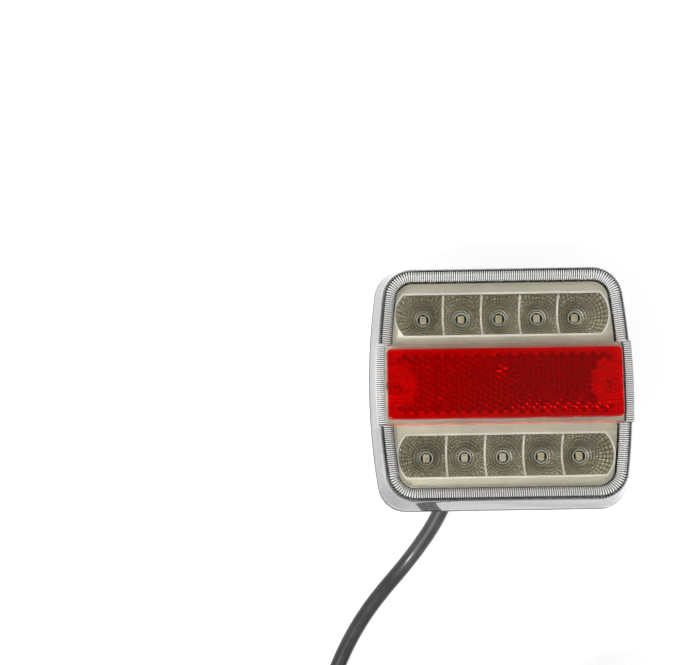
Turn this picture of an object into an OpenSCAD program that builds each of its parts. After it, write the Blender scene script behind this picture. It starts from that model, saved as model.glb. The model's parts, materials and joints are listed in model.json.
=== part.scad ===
// Square LED trailer tail light on a round magnet, with its lead and plug.
// Millimetres. The magnet's contact face is z = 0, the lens looks along +Z and the lamp's top is +Y.

/* [Housing] */
// Width of the back plate at its middle
base_w = 105; // [100:1:112]
// Height of the back plate
base_h = 97; // [94:1:102]
// Corner radius of the back plate
corner_r = 11; // [9:0.5:13]
// Radius of the bulge of the two long sides
side_r = 260; // [220:10:400]
// Thickness of the back plate
plate_t = 2.5; // [2.2:0.1:3]
// Distance from the back of the plate to the top of the lens bead
lens_depth = 26.5; // [26:0.5:28]
// Corner radius of the lens front, outside its bead
front_r = 12; // [10:0.5:14]
// Wall thickness of the clear lens
lens_wall = 2.2; // [1.8:0.1:2.4]
// Width of the raised bead round the lens front
bead_w = 5.75; // [5:0.25:6.5]

/* [Reflex bar] */
// Length of the red reflex bar
bar_w = 91.6; // [88:0.2:93]
// Height of the red reflex bar
bar_h = 27.4; // [26:0.2:28]
// Thickness of the red reflex bar
bar_t = 4; // [3.6:0.2:4.4]
// Height of the clear platform that carries the bar
platform_h = 31.6; // [30:0.2:32]

/* [Light rows] */
// Distance between neighbouring cups
cup_pitch = 15.2; // [15:0.1:15.4]
// Distance of each row from the middle of the lamp
row_y = 27.7; // [27.4:0.1:28]
// Height of a row's opening
row_h = 16.1; // [15:0.1:16.4]
// Rim radius of a cup
cup_r = 11.5; // [11:0.1:11.7]

/* [Magnet] */
// Outer diameter of the steel cup
cup_d = 77.5; // [74:0.5:80]
// Depth of the steel cup
cup_depth = 12; // [11.6:0.1:12.6]
// Outer diameter of the ferrite ring
ring_d = 72; // [68:0.5:72]
// Hole diameter of the ferrite ring
ring_hole_d = 33; // [33:0.5:35]
// Height of the hub that the magnet is bolted to
hub_h = 10; // [9.8:0.1:11]
// Outer diameter of the hub
hub_d = 44; // [42:1:46]

/* [Cable] */
// Diameter of the cable's jacket
cable_d = 6.2; // [6:0.1:6.2]
// Direction of the cable outlet, seen from the front, from the lamp's right
outlet_angle = -117; // [-119:1:-115]

/* [Plug] */
// Diameter of the plug's nose, which enters the socket
nose_d = 34.5; // [34:0.1:35]
// Length of the plug's nose
nose_l = 25; // [24:0.5:27]
// Diameter of the plug's grip
grip_d = 40; // [39:0.5:41]

/* [Hidden] */
$fn = 64;
tiny = 0.01;

// Magnet and hub levels
dimple_h = 3.5;
cup_wall = 1.5;
hub_z = cup_depth + dimple_h;
back_z = hub_z + hub_h;
deck_z = back_z + plate_t;
hub_wall = 2.2;
outlet_z = hub_z + 4.8;

// Lens levels
crest_z = back_z + lens_depth;
window_z = crest_z - 3.5;
wall_z = window_z - lens_wall;
platform_z = crest_z - 1.4;
bar_z = crest_z + 1;
seal_t = 0.6;
skirt_inset = 0.2;
front_inset = 3;

// Inside levels
board_z = deck_z + 1;
board_t = 1.6;
board_w = 87;
board_h = 74;
led_z = board_z + board_t;
led_t = 1.6;
cup_hole_r = 2.7;
cup_z = led_z + 1.9;
bezel_t = 1;
bezel_z = wall_z - 0.3 - bezel_t;
leaf_t = 0.8;
row_w = 4 * cup_pitch + 2 * cup_r;
end_led_x = bar_w / 2 - 4.6;
end_hole_r = 3.2;
end_rim_r = 4.9;
post_x = 32;
post_y = 9;
post_r = 3.2;
screw_r = 1.45;

// Moat round the back of the plate
moat_depth = 1.5;
moat_x = 7.6;
moat_y = 6.4;
moat_w = 5;

// Bolt, nut and washer
bolt_r = 3;
nut_af = 10;
washer_t = 1.6;
nut_t = 5;
bolt_tip_z = 3;

// Cable and grommet
cable_r = cable_d / 2;
outlet = [cos(outlet_angle), sin(outlet_angle)];
jacket_end_r = 13;
outlet_r = 4.2;
flange_r = 5.1;
relief_tip_r = 40;
core_r = 0.75;
core_gap = 3.2;
ferrule_r = 4;

// Coil of the spare length
coil_x = -35;
coil_y = -168;
turn_pitch = 6.3;
first_turn_r = 25;
columns = 5;
coil_base = 0.6;
coil_in_r = first_turn_r - cable_r;
coil_out_r = first_turn_r + (columns - 1) * turn_pitch + cable_r;
coil_top = coil_base + cable_d + turn_pitch;
tie_angle = 60;
tie_t = 0.6;
tie_w = 12;

// Plug, which lies beside the coil with its nose towards +Y: where its cable end is
plug_x = 39.5;
plug_y = -196;
plug_z = 20.2;

// Stations along the plug's own axis, from its cable end
shell_x = 15;
grip_l = 42;
gland_l = 13;
nose_wall = 2.4;
pin_r = 2.4;
pin_circle_r = 9.5;
nose_x = shell_x + grip_l;
tip_x = nose_x + nose_l;
insert_l = 12;

// Route of the lead from the hub to the coil
route = [
    each [for (r = [jacket_end_r, 22, 31, relief_tip_r]) [r * outlet.x, r * outlet.y, outlet_z]],
    [-21, -41, 18.5],
    [-24, -47.5, 15.5],
    [-27.5, -54, 11.5],
    [-31.5, -60, 7.7],
    [-36, -66, 4.6],
    [-41, -72, 3.1],
    [-48.5, -80.5, 3.1],
    [-55.5, -89.5, 3.1],
    [-61.5, -99, 3.1],
    [-66.5, -109, 3.1],
    [-71.5, -121, 3.1],
    [-76.5, -135, 3.4],
    [-81.8, -149.9, 3.7]
];

// Route of the lead from the coil to the plug
tail_route = [
    [-35, -218.2, 10],
    [-29, -218.3, 10.3],
    [-22, -218.6, 11],
    [-14, -219.2, 12.3],
    [-6, -220, 13.9],
    [1, -220.7, 15.3],
    [8, -221, 16.6],
    [14.5, -221, 17.7],
    [21, -220.1, 18.7],
    [27, -217.7, 19.5],
    [32.2, -213.7, 20],
    [36.2, -208.5, 20.2],
    [38.7, -202.5, 20.2],
    [39.5, -196, 20.2],
    [39.5, -188, 20.2],
    [39.5, -178, 20.2]
];

// The lamp's outline, moved in by inset: straight top and bottom, bulged sides, corners of radius r
function outline(inset, r, steps = 8) =
    let (
        sx = base_w / 2 - side_r,
        bulge_r = side_r - inset,
        cy = base_h / 2 - inset - r,
        cx = sx + sqrt(pow(bulge_r - r, 2) - cy * cy),
        turn = asin(cy / (bulge_r - r)),
        side = [for (i = [-steps : steps]) let (a = turn * i / steps)
            [sx + bulge_r * cos(a), bulge_r * sin(a)]],
        corner = [for (i = [1 : steps]) let (a = turn + (90 - turn) * i / steps)
            [cx + r * cos(a), cy + r * sin(a)]],
        right = concat([for (i = [steps - 1 : -1 : 0]) [corner[i].x, -corner[i].y]], side, corner)
    )
    concat(right, [for (i = [len(right) - 1 : -1 : 0]) [-right[i].x, right[i].y]]);

// A flat slab of the outline, whose corners keep the back plate's centres
module slab(inset, z, t, r = corner_r) {
    translate([0, 0, z]) linear_extrude(t) polygon(outline(inset, r - inset));
}

// A slab of the lens front's outline, whose corners keep the front's own centres
module front_slab(inset, z, t) {
    slab(inset, z, t, front_r + front_inset);
}

// The lens skirt's block, from the back plate's corners at z0 to the front's at z1
module skirt(inset, z0, z1) {
    hull() {
        slab(skirt_inset + inset, z0, tiny);
        front_slab(front_inset + inset, z1 - tiny, tiny);
    }
}

// A block of the lens front that goes from one inset at z0 to another at z1
module front_taper(inset0, z0, inset1, z1) {
    hull() {
        front_slab(inset0, z0, tiny);
        front_slab(inset1, z1 - tiny, tiny);
    }
}

// A rectangle with round corners, centred
module round_rect(w, h, r) {
    square([w - 2 * r, h], center = true);
    square([w, h - 2 * r], center = true);
    for (x = [-1, 1], y = [-1, 1]) {
        translate([x * (w / 2 - r), y * (h / 2 - r)]) circle(r);
    }
}

// Puts something at every board post
module at_posts() {
    for (x = [-1, 1], y = [-1, 1]) {
        translate([x * post_x, y * post_y, 0]) children();
    }
}

// A tube swept along points, with a ring at each point
function unit(v) = v / norm(v);
function mean_dir(p, i) =
    let (a = max(i - 1, 0), b = min(i + 1, len(p) - 1)) unit(p[b] - p[a]);
function ring(p, i, r, sides, up) =
    let (
        d = mean_dir(p, i),
        s = unit(cross(d, up)),
        u = cross(s, d)
    )
    [for (k = [0 : sides - 1]) let (a = 360 * k / sides) p[i] + r * (cos(a) * s + sin(a) * u)];

module tube(p, r, sides = 10, up = [0, 0, 1]) {
    n = len(p);
    points = [for (i = [0 : n - 1]) each ring(p, i, r, sides, up)];
    walls = [for (i = [0 : n - 2], k = [0 : sides - 1]) let (m = (k + 1) % sides)
        each [
            [i * sides + k, i * sides + m, (i + 1) * sides + m],
            [i * sides + k, (i + 1) * sides + m, (i + 1) * sides + k]
        ]];
    start = [[for (k = [sides - 1 : -1 : 0]) k]];
    finish = [[for (k = [0 : sides - 1]) (n - 1) * sides + k]];
    polyhedron(points, concat(walls, start, finish), convexity = 4);
}

// Places children on the outlet's axis, with their own +Z pointing out of the hub
module on_outlet(r, angle = outlet_angle) {
    rotate([0, 0, angle]) translate([r, 0, outlet_z]) rotate([0, 90, 0]) children();
}

module base_plate() {
    color([0.11, 0.11, 0.10]) difference() {
        union() {
            slab(0, back_z, plate_t);
            translate([0, 0, hub_z]) cylinder(h = hub_h + tiny, d = hub_d);
            // Locating wall inside the lens skirt
            difference() {
                slab(skirt_inset + lens_wall + 1.2, deck_z - tiny, 4);
                slab(skirt_inset + lens_wall + 2.6, deck_z - 1, 6);
            }
            at_posts() translate([0, 0, deck_z - tiny]) cylinder(h = board_z - deck_z + tiny, r = post_r);
        }
        // Moat: round outside, square inside
        difference() {
            translate([0, 0, back_z - 1]) linear_extrude(1 + moat_depth)
                round_rect(base_w - 2 * moat_x - 3.4, base_h - 2 * moat_y, 8);
            translate([0, 0, back_z - 2]) linear_extrude(6)
                square([base_w - 2 * moat_x - 2 * moat_w - 3.4, base_h - 2 * moat_y - 2 * moat_w],
                    center = true);
        }
        // Hollow hub, open to the inside of the lamp
        translate([0, 0, hub_z + hub_wall]) cylinder(h = hub_h + 10, d = hub_d - 2 * hub_wall);
        translate([0, 0, hub_z - 1]) cylinder(h = 10, r = bolt_r + 0.1);
        // Cable outlet
        on_outlet(jacket_end_r - 1) cylinder(h = hub_d / 2, r = outlet_r);
        // Groove of the moulded blank for a second outlet
        on_outlet(hub_d / 2 - 0.8, -90) difference() {
            cylinder(h = 4, r = 4.4);
            translate([0, 0, -1]) cylinder(h = 6, r = 3.7);
        }
        at_posts() translate([0, 0, back_z + 1]) cylinder(h = 10, r = screw_r);
    }
}

module lens_seal() {
    color([0.08, 0.08, 0.08]) difference() {
        slab(skirt_inset + 0.2, deck_z, seal_t);
        slab(skirt_inset + lens_wall + 1, deck_z - 1, seal_t + 2);
    }
}

module lens_cover() {
    color([0.86, 0.88, 0.90, 0.45]) difference() {
        union() {
            skirt(0, deck_z + seal_t, window_z);
            // Raised bead, hollowed to leave the two windows
            difference() {
                front_taper(front_inset, window_z - tiny, front_inset + 2.2, crest_z);
                front_taper(front_inset + bead_w, window_z, front_inset + bead_w - 1.7, crest_z + tiny);
            }
            // Middle platform across the full width
            intersection() {
                front_slab(front_inset - 0.6, window_z - 3, platform_z - window_z + 3);
                translate([0, 0, crest_z - 10]) cube([2 * base_w, platform_h, 30], center = true);
            }
        }
        skirt(lens_wall, deck_z - 1, wall_z);
        // Pocket for the red bar
        translate([0, 0, bar_z - bar_t]) linear_extrude(bar_t + 2)
            round_rect(bar_w + 0.2, bar_h + 0.2, 1.9);
    }
}

module reflex_bar() {
    color([0.80, 0.03, 0.04]) translate([0, 0, bar_z - bar_t]) linear_extrude(bar_t)
        round_rect(bar_w, bar_h, 1.8);
}

// Opening of a row of cups: straight along its sides, with the end cups' rims as its ends
module row_opening() {
    intersection() {
        union() {
            for (x = [-1, 1]) {
                translate([x * 2 * cup_pitch, 0]) circle(cup_r);
            }
            square([4 * cup_pitch, 2 * cup_r], center = true);
        }
        square([row_w, row_h], center = true);
    }
}

// Puts something round each end LED, at the level of the cups' holes
module at_end_leds() {
    for (x = [-1, 1]) {
        translate([x * end_led_x, 0, cup_z]) children();
    }
}

module reflector_bezel() {
    color([0.74, 0.71, 0.60]) difference() {
        union() {
            front_slab(front_inset + lens_wall + 0.6, bezel_z, bezel_t);
            // Side wall down to the locating wall
            difference() {
                front_slab(front_inset + lens_wall + 0.6, deck_z + 4.5, bezel_z - deck_z - 4);
                front_slab(front_inset + lens_wall + 1.6, deck_z + 4, bezel_z - deck_z);
            }
            // Legs that stand on the board
            for (x = [-1, 1], y = [-1, 1]) {
                translate([x * 41, y * 12, led_z]) cylinder(h = bezel_z - led_z + tiny, r = 1.8);
            }
            // Cones round the end LEDs
            at_end_leds() cylinder(h = bezel_z - cup_z + tiny, r1 = end_hole_r + leaf_t, r2 = end_rim_r + leaf_t);
        }
        for (y = [-1, 1]) {
            translate([0, y * row_y, bezel_z - 1]) linear_extrude(4) row_opening();
        }
        at_end_leds() {
            translate([0, 0, -1]) cylinder(h = 1 + tiny, r = end_hole_r);
            cylinder(h = bezel_z + bezel_t - cup_z, r1 = end_hole_r, r2 = end_rim_r);
            translate([0, 0, bezel_z + bezel_t - cup_z - tiny]) cylinder(h = 1, r = end_rim_r);
        }
    }
}

// Parabolic cup profile, from the LED hole up to the rim, grown by t
function cup_line(t, steps = 8) =
    [for (i = [0 : steps]) let (k = i / steps, r = cup_hole_r + (cup_r - cup_hole_r) * k)
        [r + t, cup_z + (bezel_z - cup_z) * (r * r - cup_hole_r * cup_hole_r)
            / (cup_r * cup_r - cup_hole_r * cup_hole_r)]];

module cup_solid(t, z0, z1) {
    line = cup_line(t);
    rotate_extrude() polygon(concat([[0, z0], [line[0].x, z0]], line, [[line[8].x, z1], [0, z1]]));
}

// A row of five cups, cut to the opening behind the bezel
module cup_row(y) {
    color([0.62, 0.58, 0.50]) translate([0, y, 0]) difference() {
        intersection() {
            for (i = [-2 : 2]) {
                translate([i * cup_pitch, 0, 0]) cup_solid(leaf_t, cup_z, bezel_z);
            }
            translate([0, 0, cup_z]) linear_extrude(bezel_z - cup_z)
                square([row_w + 2 * leaf_t, row_h + 2 * leaf_t], center = true);
        }
        intersection() {
            for (i = [-2 : 2]) {
                translate([i * cup_pitch, 0, 0]) cup_solid(0, cup_z - 1, bezel_z + 1);
            }
            translate([0, 0, cup_z - 1]) linear_extrude(bezel_z)
                square([row_w, row_h], center = true);
        }
    }
}

module upper_reflector() {
    cup_row(row_y);
}

module lower_reflector() {
    cup_row(-row_y);
}

module circuit_board() {
    color([0.06, 0.16, 0.10]) difference() {
        translate([0, 0, board_z]) linear_extrude(board_t) round_rect(board_w, board_h, 5);
        at_posts() translate([0, 0, board_z - 1]) cylinder(h = 4, r = screw_r + 0.2);
    }
}

// One LED package: body with a round well for the phosphor
module led() {
    difference() {
        translate([-1.4, -1.75, 0]) cube([2.8, 3.5, led_t]);
        translate([0, 0, led_t - 0.35]) cylinder(h = 1, r = 1.1);
    }
}

module led_row(y) {
    color([0.93, 0.90, 0.62]) for (i = [-2 : 2]) {
        translate([i * cup_pitch, y, led_z]) led();
    }
}

module upper_leds() {
    led_row(row_y);
}

module lower_leds() {
    led_row(-row_y);
}

module end_leds() {
    color([0.93, 0.90, 0.62]) for (x = [-1, 1]) {
        translate([x * end_led_x, 0, led_z]) led();
    }
}

module resistors() {
    color([0.12, 0.12, 0.13]) for (x = [-3 : 2 : 3], y = [-1, 1]) {
        translate([x * 3.2 - 1.6, y * 14 - 3.15, led_z]) cube([3.2, 6.3, 0.6]);
    }
}

module diodes() {
    color([0.10, 0.10, 0.11]) for (x = [-3 : 2 : 3]) {
        translate([x * 4.2 - 1.3, 4, led_z]) cube([2.6, 4.3, 2.2]);
    }
}

module board_screws() {
    color([0.75, 0.76, 0.78]) at_posts() difference() {
        union() {
            translate([0, 0, led_z]) cylinder(h = 1.8, r = 2.7);
            translate([0, 0, back_z + 1.6]) cylinder(h = led_z - back_z - 1.6 + tiny, r = screw_r);
        }
        // Cross recess
        for (a = [0, 90]) {
            rotate([0, 0, a]) translate([-1.4, -0.35, led_z + 0.8]) cube([2.8, 0.7, 3]);
        }
    }
}

// Direction across the outlet, and where each core ends
outlet_side = [-outlet.y, outlet.x];
function core_foot(k) = outlet * ferrule_r + outlet_side * (k - 1.5) * core_gap;

// One core, from the cut jacket to its ferrule under the board
function core_route(k) =
    let (
        lane = (k - 1.5) * 1.9,
        start = jacket_end_r * outlet,
        a = start + outlet_side * lane - outlet * 0.2,
        b = start + outlet_side * lane * 1.4 - outlet * 2.4,
        foot = core_foot(k)
    )
    [
        [a.x, a.y, outlet_z],
        [b.x, b.y, outlet_z + 0.7],
        [(b.x * 2 + foot.x) / 3, (b.y * 2 + foot.y) / 3, outlet_z + 1.9],
        [(b.x + foot.x * 2) / 3, (b.y + foot.y * 2) / 3, outlet_z + 3.1],
        [foot.x, foot.y, board_z - 4.4],
        [foot.x, foot.y, board_z - 2.6]
    ];

module core(k) {
    tube(core_route(k), core_r, 8, [0.2, 1, 0]);
}

module core_earth() {
    color("white") core(0);
}

module core_tail() {
    color("saddlebrown") core(1);
}

module core_stop() {
    color("red") core(2);
}

module core_turn() {
    color("yellow") core(3);
}

module core_ferrules() {
    color([0.78, 0.79, 0.80]) for (k = [0 : 3]) {
        translate([core_foot(k).x, core_foot(k).y, board_z - 2.6]) cylinder(h = 2.6, r = 1.2);
    }
}

module cable_grommet() {
    inner_r = hub_d / 2 - hub_wall;
    seat_in_r = sqrt(inner_r * inner_r - flange_r * flange_r);
    seat_out_r = hub_d / 2;
    taper_r = seat_out_r + 2;
    color([0.09, 0.09, 0.09]) difference() {
        union() {
            // Flange on each side of the hub's wall, with the neck between them
            on_outlet(seat_in_r - 1.2) cylinder(h = 1.2, r = flange_r);
            on_outlet(seat_in_r - tiny) cylinder(h = seat_out_r - seat_in_r + 2 * tiny, r = outlet_r);
            on_outlet(seat_out_r) cylinder(h = 2, r = flange_r);
            on_outlet(taper_r - tiny)
                cylinder(h = relief_tip_r - taper_r, r1 = outlet_r + 0.4, r2 = cable_r + 0.6);
        }
        on_outlet(seat_in_r - 4) cylinder(h = 40, r = cable_r);
        // Flat of the inner flange, which stands on the hub's floor
        translate([0, 0, hub_z - 5]) cylinder(h = 5 + hub_wall, r = inner_r);
        // Flex grooves
        for (k = [0 : 4]) {
            on_outlet(taper_r + 1.8 + k * 2.6) difference() {
                cylinder(h = 1.1, r = 8);
                translate([0, 0, -1]) cylinder(h = 4, r = cable_r + 0.6);
            }
        }
    }
}

module cable_clamp() {
    color([0.16, 0.16, 0.17]) on_outlet(jacket_end_r + 0.6) difference() {
        union() {
            cylinder(h = 3, r = cable_r + 0.8);
            translate([-(cable_r + 2.6), -1.8, 0]) cube([3, 3.6, 3]);
        }
        translate([0, 0, -1]) cylinder(h = 5, r = cable_r);
    }
}

module magnet_cup() {
    flat_r = 15.5;
    color([0.72, 0.74, 0.76]) rotate_extrude($fn = 128) polygon([
        [bolt_r + 0.2, hub_z], [bolt_r + 0.2, hub_z - cup_wall],
        [9.5, hub_z - cup_wall], [flat_r, cup_depth - cup_wall],
        [cup_d / 2 - cup_wall, cup_depth - cup_wall], [cup_d / 2 - cup_wall, 0],
        [cup_d / 2, 0], [cup_d / 2, cup_depth - 1.5],
        [cup_d / 2 - 1.5, cup_depth], [flat_r + 2, cup_depth],
        [flat_r - 0.5, hub_z]
    ]);
}

ring_z = 0.4;
ring_t = cup_depth - cup_wall - ring_z;
module ring_magnet() {
    color([0.40, 0.40, 0.38]) rotate_extrude($fn = 128) polygon([
        [ring_hole_d / 2, ring_z + 0.4], [ring_hole_d / 2 + 0.4, ring_z],
        [ring_d / 2 - 0.5, ring_z], [ring_d / 2, ring_z + 0.5],
        [ring_d / 2, ring_z + ring_t], [ring_hole_d / 2, ring_z + ring_t]
    ]);
}

module magnet_glue() {
    color([0.06, 0.06, 0.06]) translate([0, 0, 1.4]) difference() {
        cylinder(h = cup_depth - cup_wall - 1.4, d = cup_d - 2 * cup_wall, $fn = 128);
        translate([0, 0, -1]) cylinder(h = cup_depth, d = ring_d, $fn = 128);
    }
}

module magnet_bolt() {
    color([0.76, 0.72, 0.66]) union() {
        translate([0, 0, hub_z + hub_wall]) cylinder(h = 4, r = nut_af / sqrt(3), $fn = 6);
        translate([0, 0, bolt_tip_z + 0.6]) cylinder(h = hub_z + hub_wall - bolt_tip_z - 0.6 + tiny, r = bolt_r);
        translate([0, 0, bolt_tip_z]) cylinder(h = 0.61, r1 = bolt_r - 0.6, r2 = bolt_r);
    }
}

washer_z = hub_z - cup_wall - washer_t;
module spring_washer() {
    color([0.70, 0.71, 0.72]) translate([0, 0, washer_z]) difference() {
        cylinder(h = washer_t, r = 5.4);
        translate([0, 0, -1]) cylinder(h = 4, r = bolt_r + 0.2);
        translate([0, -0.4, -1]) cube([8, 0.8, 4]);
    }
}

module magnet_nut() {
    color([0.78, 0.78, 0.74]) translate([0, 0, washer_z - nut_t]) difference() {
        intersection() {
            cylinder(h = nut_t, r = nut_af / sqrt(3), $fn = 6);
            rotate_extrude() polygon([[0, 0], [4.7, 0], [5.9, 0.8], [5.9, nut_t], [0, nut_t]]);
        }
        translate([0, 0, -1]) cylinder(h = nut_t + 2, r = bolt_r);
    }
}

// The coil's outer cylinder, which trims the tubes that meet it
module coil_clearance() {
    translate([coil_x, coil_y, -1]) cylinder(h = 40, r = coil_out_r, $fn = 128);
}

module cable() {
    color([0.10, 0.10, 0.10]) difference() {
        tube(route, cable_r);
        coil_clearance();
    }
}

module cable_coil() {
    color([0.10, 0.10, 0.10]) translate([coil_x, coil_y, coil_base]) rotate_extrude($fn = 128) polygon([
        [coil_in_r + 2, 0], [coil_out_r - 2, 0], [coil_out_r, 2],
        [coil_out_r, coil_top - coil_base - 2], [coil_out_r - 2, coil_top - coil_base],
        [coil_in_r + 2, coil_top - coil_base], [coil_in_r, coil_top - coil_base - 2], [coil_in_r, 2]
    ]);
}

module cable_tail() {
    color([0.10, 0.10, 0.10]) difference() {
        tube(tail_route, cable_r);
        coil_clearance();
    }
}

module coil_tie() {
    wide = coil_out_r - coil_in_r;
    color([0.16, 0.16, 0.17]) translate([coil_x, coil_y, 0]) rotate([0, 0, tie_angle]) difference() {
        translate([coil_in_r - tie_t, -tie_w / 2, 0]) cube([wide + 2 * tie_t, tie_w, coil_top + tie_t]);
        rotate_extrude($fn = 128) polygon([
            [coil_in_r, coil_base], [coil_out_r, coil_base],
            [coil_out_r, coil_top], [coil_in_r, coil_top]
        ]);
    }
}

// Turns the plug's own frame, whose +X runs out of its nose, into its place
module in_plug() {
    translate([plug_x, plug_y, plug_z]) rotate([0, 0, 90]) children();
}

// Places children on the plug's axis, with their own +Z pointing out of its nose
module on_plug(x) {
    translate([x, 0, 0]) rotate([0, 90, 0]) children();
}

module plug_shell() {
    color([0.10, 0.10, 0.10]) in_plug() difference() {
        union() {
            on_plug(shell_x) cylinder(h = 6, r1 = 13, r2 = grip_d / 2);
            on_plug(shell_x + 6 - tiny) cylinder(h = grip_l - 6 + tiny, d = grip_d);
            on_plug(nose_x - tiny) cylinder(h = nose_l + tiny, d = nose_d);
            // Lug that the socket's sprung lid hooks behind
            translate([nose_x - 7, -4, grip_d / 2 - 1]) cube([3, 8, 2.6]);
        }
        // Cavity for the insert and, in front of it, the pins
        on_plug(shell_x + 8) cylinder(h = 100, r = nose_d / 2 - nose_wall);
        on_plug(shell_x - 1) cylinder(h = 20, r = cable_r + 2.4);
        // Keyway at the mouth, which takes the socket's key
        translate([tip_x - 8, -2, nose_d / 2 - 1.3]) cube([10, 4, 3]);
        // Grip grooves
        for (k = [0 : 11]) {
            on_plug(shell_x + 9) rotate([0, 0, k * 30]) translate([grip_d / 2 + 0.9, 0, 0])
                cylinder(h = grip_l - 13, r = 1.8);
        }
        on_plug(nose_x - 6) rotate([90, 0, 0]) translate([0, 0, 10]) cylinder(h = 20, r = 1.6);
    }
}

module plug_insert() {
    color([0.20, 0.20, 0.21]) in_plug() difference() {
        on_plug(nose_x - insert_l) cylinder(h = insert_l, r = nose_d / 2 - nose_wall);
        for (k = [0 : 5]) {
            on_plug(nose_x - insert_l - 1) rotate([0, 0, k * 60]) translate([pin_circle_r, 0, 0])
                cylinder(h = 30, r = pin_r);
        }
        on_plug(nose_x - insert_l - 1) cylinder(h = 30, r = pin_r);
        on_plug(nose_x - 6) rotate([90, 0, 0]) translate([0, 0, 10]) cylinder(h = 20, r = 1.6);
    }
}

// One brass pin: terminal barrel behind the insert, round contact in front of it
module pin() {
    difference() {
        union() {
            cylinder(h = insert_l + 6 + 17, r = pin_r);
            translate([0, 0, insert_l + 6 + 17 - tiny]) cylinder(h = 1, r1 = pin_r, r2 = pin_r - 0.8);
        }
        translate([0, 0, -1]) cylinder(h = 6, r = 1.5);
        translate([-0.3, -5, insert_l + 6 + 7]) cube([0.6, 10, 20]);
    }
}

module plug_pins() {
    color([0.80, 0.66, 0.33]) in_plug() {
        on_plug(nose_x - insert_l - 6) pin();
        for (k = [0 : 5]) {
            on_plug(nose_x - insert_l - 6) rotate([0, 0, k * 60]) translate([pin_circle_r, 0, 0]) pin();
        }
    }
}

module plug_gland_nut() {
    color([0.12, 0.12, 0.12]) in_plug() difference() {
        union() {
            on_plug(shell_x - gland_l) cylinder(h = gland_l - 4, r = 10.4, $fn = 6);
            on_plug(shell_x - gland_l - 2) cylinder(h = 2.1, r1 = 6.5, r2 = 8.8);
            on_plug(shell_x - 4.1) cylinder(h = 4.1, r = 8.8);
        }
        on_plug(shell_x - gland_l - 4) cylinder(h = 40, r = cable_r);
        on_plug(shell_x - gland_l + 3) cylinder(h = 40, r = cable_r + 2.4);
    }
}

module plug_gland_seal() {
    color([0.07, 0.07, 0.07]) in_plug() difference() {
        on_plug(shell_x - gland_l + 3) cylinder(h = gland_l + 5, r = cable_r + 2.4);
        on_plug(shell_x - gland_l) cylinder(h = 40, r = cable_r);
    }
}

module plug_screw() {
    color([0.75, 0.76, 0.78]) in_plug() on_plug(nose_x - 6) rotate([90, 0, 0]) difference() {
        translate([0, 0, 11]) cylinder(h = 7.6, r = 1.6);
        translate([-2, -0.35, 17.6]) cube([4, 0.7, 3]);
    }
}

base_plate();
lens_seal();
lens_cover();
reflex_bar();
reflector_bezel();
upper_reflector();
lower_reflector();
circuit_board();
upper_leds();
lower_leds();
end_leds();
resistors();
diodes();
board_screws();
core_earth();
core_tail();
core_stop();
core_turn();
core_ferrules();
cable_grommet();
cable_clamp();
magnet_cup();
ring_magnet();
magnet_glue();
magnet_bolt();
spring_washer();
magnet_nut();
cable();
cable_coil();
cable_tail();
coil_tie();
plug_shell();
plug_insert();
plug_pins();
plug_gland_nut();
plug_gland_seal();
plug_screw();
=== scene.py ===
"""Looks of the trailer tail light, built round its CAD frame. Sizes are millimetres until a mesh is made."""
import json
import math

import bmesh
import bpy
import numpy as np
from mathutils import Matrix, Vector
from mathutils.geometry import tessellate_polygon


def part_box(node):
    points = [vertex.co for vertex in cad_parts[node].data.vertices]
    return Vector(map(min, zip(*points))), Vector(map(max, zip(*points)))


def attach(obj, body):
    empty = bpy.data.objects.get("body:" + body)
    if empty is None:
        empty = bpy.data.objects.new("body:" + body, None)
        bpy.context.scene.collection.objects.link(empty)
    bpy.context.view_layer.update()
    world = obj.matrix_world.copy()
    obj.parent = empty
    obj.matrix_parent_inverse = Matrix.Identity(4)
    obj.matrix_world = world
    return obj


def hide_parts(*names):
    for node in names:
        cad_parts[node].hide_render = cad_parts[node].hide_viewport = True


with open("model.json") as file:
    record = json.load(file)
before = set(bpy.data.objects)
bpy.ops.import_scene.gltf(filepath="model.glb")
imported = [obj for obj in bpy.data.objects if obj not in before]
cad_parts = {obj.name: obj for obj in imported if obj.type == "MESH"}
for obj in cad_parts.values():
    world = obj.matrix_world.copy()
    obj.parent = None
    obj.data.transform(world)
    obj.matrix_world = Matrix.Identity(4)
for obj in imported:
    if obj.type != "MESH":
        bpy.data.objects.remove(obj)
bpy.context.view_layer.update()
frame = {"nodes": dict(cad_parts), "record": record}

MM = 0.001
BODY = "root"


def box_mm(node):
    """Lowest and highest corner of a CAD node, in millimetres."""
    low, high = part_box(node)
    return np.array(low) / MM, np.array(high) / MM


# ---------------- sizes

BASE_LO, BASE_HI = box_mm("base_plate")
LENS_LO, LENS_HI = box_mm("lens_cover")
BAR_LO, BAR_HI = box_mm("reflex_bar")
CUPS_LO, CUPS_HI = box_mm("upper_reflector")
LED_LO, LED_HI = box_mm("upper_leds")
END_LED_HI = box_mm("end_leds")[1]
MAGNET_HI = box_mm("magnet_cup")[1]
PLUG_LO, PLUG_HI = box_mm("plug_shell")

BASE_W = BASE_HI[0] - BASE_LO[0]
BASE_H = BASE_HI[1] - BASE_LO[1]
# Radius of the slightly round sides, and of the corners at the back and at the front
SIDE_R = 260
BACK_CORNER = 11
FRONT_CORNER = 15
FOOT_Z = LENS_LO[2]
CREST_Z = LENS_HI[2]
# How far the windows and the middle platform lie under the crest of the bead
WINDOW_DROP = 3.5
PLATFORM_DROP = 1.4
WINDOW_Z = CREST_Z - WINDOW_DROP
PLATFORM_Z = CREST_Z - PLATFORM_DROP
FOOT_INSET = BASE_HI[0] - LENS_HI[0]
LENS_WALL = 2.2
WALL_Z = WINDOW_Z - LENS_WALL
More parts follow.
